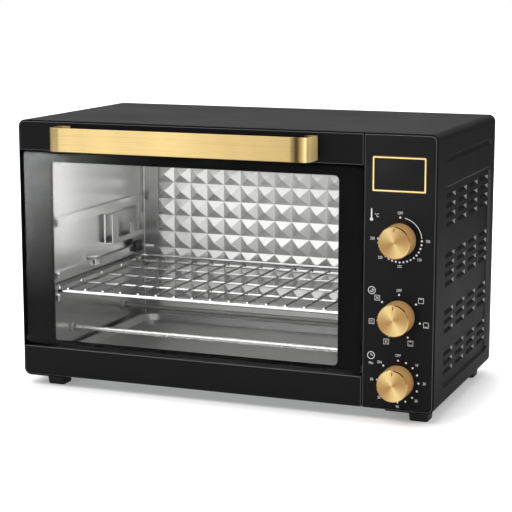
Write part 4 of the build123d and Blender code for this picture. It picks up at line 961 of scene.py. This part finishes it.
class OVEN_OT_set_studio(bpy.types.Operator):
    """Sets the floor, the lamps, the sky and the camera"""

    bl_idname = "oven.set_studio"
    bl_label = "Set studio"

    def execute(self, context):
        studio = context.scene.oven_studio
        self.sky(context, studio)
        self.floor()
        self.lamps(studio)
        self.camera(context, studio)
        context.scene.view_settings.view_transform = "Standard"
        return {"FINISHED"}

    def seen(self, tree):
        """1 for rays from the camera, gloss and glass, and 0 for the others."""
        path = add_node(tree, "ShaderNodeLightPath")
        first = math_node(tree, "MAXIMUM", path.outputs["Is Camera Ray"], path.outputs["Is Glossy Ray"])
        return math_node(tree, "MAXIMUM", first, path.outputs["Is Transmission Ray"])

    def sky(self, context, studio):
        world = bpy.data.worlds.new("Studio")
        world.use_nodes = True
        context.scene.world = world
        tree = world.node_tree
        shader = tree.nodes["Background"]
        strength = remap(tree, self.seen(tree), 0, 1, studio.world, 1.0)
        tree.links.new(strength, shader.inputs["Strength"])
        shader.inputs["Color"].default_value = (1, 1, 1, 1)

    def plane(self, name, segments, size, material):
        """A flat square with a finish."""
        bm = bmesh.new()
        bmesh.ops.create_grid(bm, x_segments=segments, y_segments=segments, size=size)
        mesh = bpy.data.meshes.new(name)
        bm.to_mesh(mesh)
        bm.free()
        mesh.materials.append(material)
        made = bpy.data.objects.new(name, mesh)
        bpy.context.scene.collection.objects.link(made)
        return made

    def floor(self):
        made, tree, shader = new_material(
            "Floor white", (0.8, 0.8, 0.8, 1), roughness=0.9, Specular_IOR_Level=0.0,
            Emission_Color=(1, 1, 1, 1),
        )
        across = vector_node(tree, "ABSOLUTE", surface(tree, "Object"))
        beyond = vector_node(tree, "MAXIMUM", vector_node(tree, "SUBTRACT", across, PATCH_HALF), (0, 0, 0))
        glow = remap(tree, vector_node(tree, "LENGTH", beyond), 0.0, PATCH_REACH, PATCH_GLOW, 1.0)
        shown = math_node(tree, "MULTIPLY", glow, self.seen(tree))
        tree.links.new(shown, shader.inputs["Emission Strength"])
        floor = self.plane("Floor", 1, 6, made)

    def lamps(self, studio):
        target = Vector((0, 0, 0.17))
        for name, power, place, wide in (
            ("Key lamp", studio.key, (-0.5, -1.5, 2.1), 2.0),
            ("Side lamp", studio.side, (2.0, 0.2, 1.1), 0.9),
            ("Back lamp", studio.back, (-0.9, 1.9, 0.9), 1.8),
        ):
            self.lamp(name, power, place, target, wide, 1.4)
        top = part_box("top_liner")[0].z
        place = Vector((middle("back_liner").x - CAVITY_LAMP_LEFT, CAVITY_LAMP_Y, top - CAVITY_LAMP_DROP))
        inside = self.lamp("Cavity lamp", studio.inside, place, place - Vector((0, 0, 1)), 0.27, 0.15)
        inside.visible_transmission = False
        glass_low = (GLASS_LOW.x - GLASS_GLARE_OUT, WRAPPER_LOW.z + GLASS_GLARE_LIFT)
        glass_high = (GLASS_LOW.x + GLASS_GLARE_IN, GLASS_HIGH.z)
        self.glare(studio, "door_glass", glass_low, glass_high, studio.glare)
        pane = [(corner.x, corner.z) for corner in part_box("display_window")]
        self.glare(studio, "display_window", *pane, DISPLAY_GLARE)
        panel_low = (PANEL_LOW.x, PANEL_HIGH.z - PANEL_GLARE_HIGH)
        self.glare(studio, "control_panel", panel_low, (PANEL_HIGH.x, PANEL_HIGH.z), PANEL_GLARE)
        self.wall_glow(studio)
        for flag in FLAGS:
            self.flag(*flag)

    def flag(self, name, place, facing, wide, high, glow):
        """A dark card that only gloss sees, as a photographer shades a dark object's gloss."""
        made, _, _ = new_material(
            name, (0.002, 0.002, 0.002, 1), roughness=1.0, Specular_IOR_Level=0.0,
            Emission_Color=(1, 1, 1, 1), Emission_Strength=glow,
        )
        card = self.plane(name, 4, 0.5, made)
        card.location = place
        card.scale = (wide, high, 1)
        card.rotation_euler = Vector(facing).to_track_quat("Z", "Y").to_euler()
        card.visible_camera = card.visible_diffuse = card.visible_transmission = card.visible_shadow = False

    def eye(self, studio):
        """The camera's place, which is set from the cabinet."""
        return Vector((studio.camera_x, WRAPPER_LOW.y + studio.camera_y, WRAPPER_LOW.z + studio.camera_z))

    def glare(self, studio, node, low, high, strength):
        """A lamp that one smooth piece alone receives and mirrors, brightest at its upper left."""
        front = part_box(node)[0].y
        eye = self.eye(studio)
        eye.y = 2 * front - eye.y
        reach = 1 + GLARE_AWAY / (eye.y - front)
        first, last = (eye + reach * (Vector((x, front, z)) - eye) for x, z in (low, high))
        place, size = (first + last) / 2, last - first
        power = math.pi * size.x * size.z
        made = self.lamp("Glare on " + node, power, place, place + Vector((0, 1, 0)), size.x, size.z)
        made.data.use_nodes = True
        tree = made.data.node_tree
        spot = axes(tree, add_node(tree, "ShaderNodeNewGeometry").outputs["Parametric"])
        both = math_node(tree, "MULTIPLY", math_node(tree, "SUBTRACT", 1.0, spot["X"]), spot["Y"])
        glow = math_node(tree, "MULTIPLY", math_node(tree, "POWER", both, 2.0), strength)
        tree.links.new(glow, tree.nodes["Emission"].inputs["Strength"])
        self.receive(made, node)

    def wall_glow(self, studio):
        """A soft lamp that the cavity's left wall alone receives, brightest at its front upper part."""
        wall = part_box("left_liner")[0]
        eye = self.eye(studio)
        eye.x = 2 * wall.x - eye.x
        reach = 1 + WALL_AWAY / (wall.x - eye.x)
        spot = Vector((wall.x, wall.y + WALL_SPOT_IN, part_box("top_liner")[0].z - WALL_SPOT_DROP))
        place = eye + reach * (spot - eye)
        made = self.lamp("Glow on the left wall", studio.wall, place, place - Vector((1, 0, 0)), 0.12, 0.16)
        self.receive(made, "left_liner")

    def receive(self, lamp, node):
        """Keeps a lamp to one CAD node, and out of what glass lets through."""
        lamp.visible_transmission = False
        group = bpy.data.collections.new("Receives " + lamp.name)
        group.objects.link(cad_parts[node])
        lamp.light_linking.receiver_collection = group

    def lamp(self, name, power, place, target, wide, high):
        data = bpy.data.lights.new(name, "AREA")
        data.shape = "RECTANGLE"
        data.size, data.size_y = wide, high
        data.energy = power
        made = bpy.data.objects.new(name, data)
        bpy.context.scene.collection.objects.link(made)
        made.location = place
        made.rotation_euler = (Vector(target) - Vector(place)).to_track_quat("-Z", "Y").to_euler()
        made.visible_camera = False
        return made

    def camera(self, context, studio):
        data = bpy.data.cameras.new("Camera")
        data.lens = studio.focal
        data.sensor_width = FILM_WIDE
        data.clip_start, data.clip_end = 0.05, 50
        made = bpy.data.objects.new("Camera", data)
        context.scene.collection.objects.link(made)
        made.location = self.eye(studio)
        made.rotation_euler = (math.pi / 2 - studio.pitch, 0, studio.yaw)
        context.scene.camera = made


class OVEN_PT_panel(bpy.types.Panel):
    """Lists the oven's finishing steps"""

    bl_label = "Oven finish"
    bl_idname = "OVEN_PT_panel"
    bl_space_type = "VIEW_3D"
    bl_region_type = "UI"
    bl_category = "Oven"

    def draw(self, context):
        column = self.layout.column()
        for operator in STEPS:
            column.operator(operator.bl_idname)
        for group in (context.scene.oven_finish, context.scene.oven_scales, context.scene.oven_studio):
            for key in group.__annotations__:
                column.prop(group, key)


STEPS = (
    OVEN_OT_finish_cabinet,
    OVEN_OT_finish_door,
    OVEN_OT_finish_controls,
    OVEN_OT_print_scales,
    OVEN_OT_finish_cavity,
    OVEN_OT_set_studio,
)
GROUPS = {"oven_finish": OvenFinish, "oven_scales": OvenScales, "oven_studio": OvenStudio}


def register():
    for group in GROUPS.values():
        bpy.utils.register_class(group)
    for name, group in GROUPS.items():
        setattr(bpy.types.Scene, name, bpy.props.PointerProperty(type=group))
    for step in (*STEPS, OVEN_PT_panel):
        bpy.utils.register_class(step)


def unregister():
    for step in reversed((*STEPS, OVEN_PT_panel)):
        bpy.utils.unregister_class(step)
    for name, group in GROUPS.items():
        delattr(bpy.types.Scene, name)
        bpy.utils.unregister_class(group)


def main():
    register()
    bpy.ops.oven.finish_cabinet()
    bpy.ops.oven.finish_door()
    bpy.ops.oven.finish_controls()
    bpy.ops.oven.print_scales()
    bpy.ops.oven.finish_cavity()
    bpy.ops.oven.set_studio()


if __name__ == "__main__":
    main()
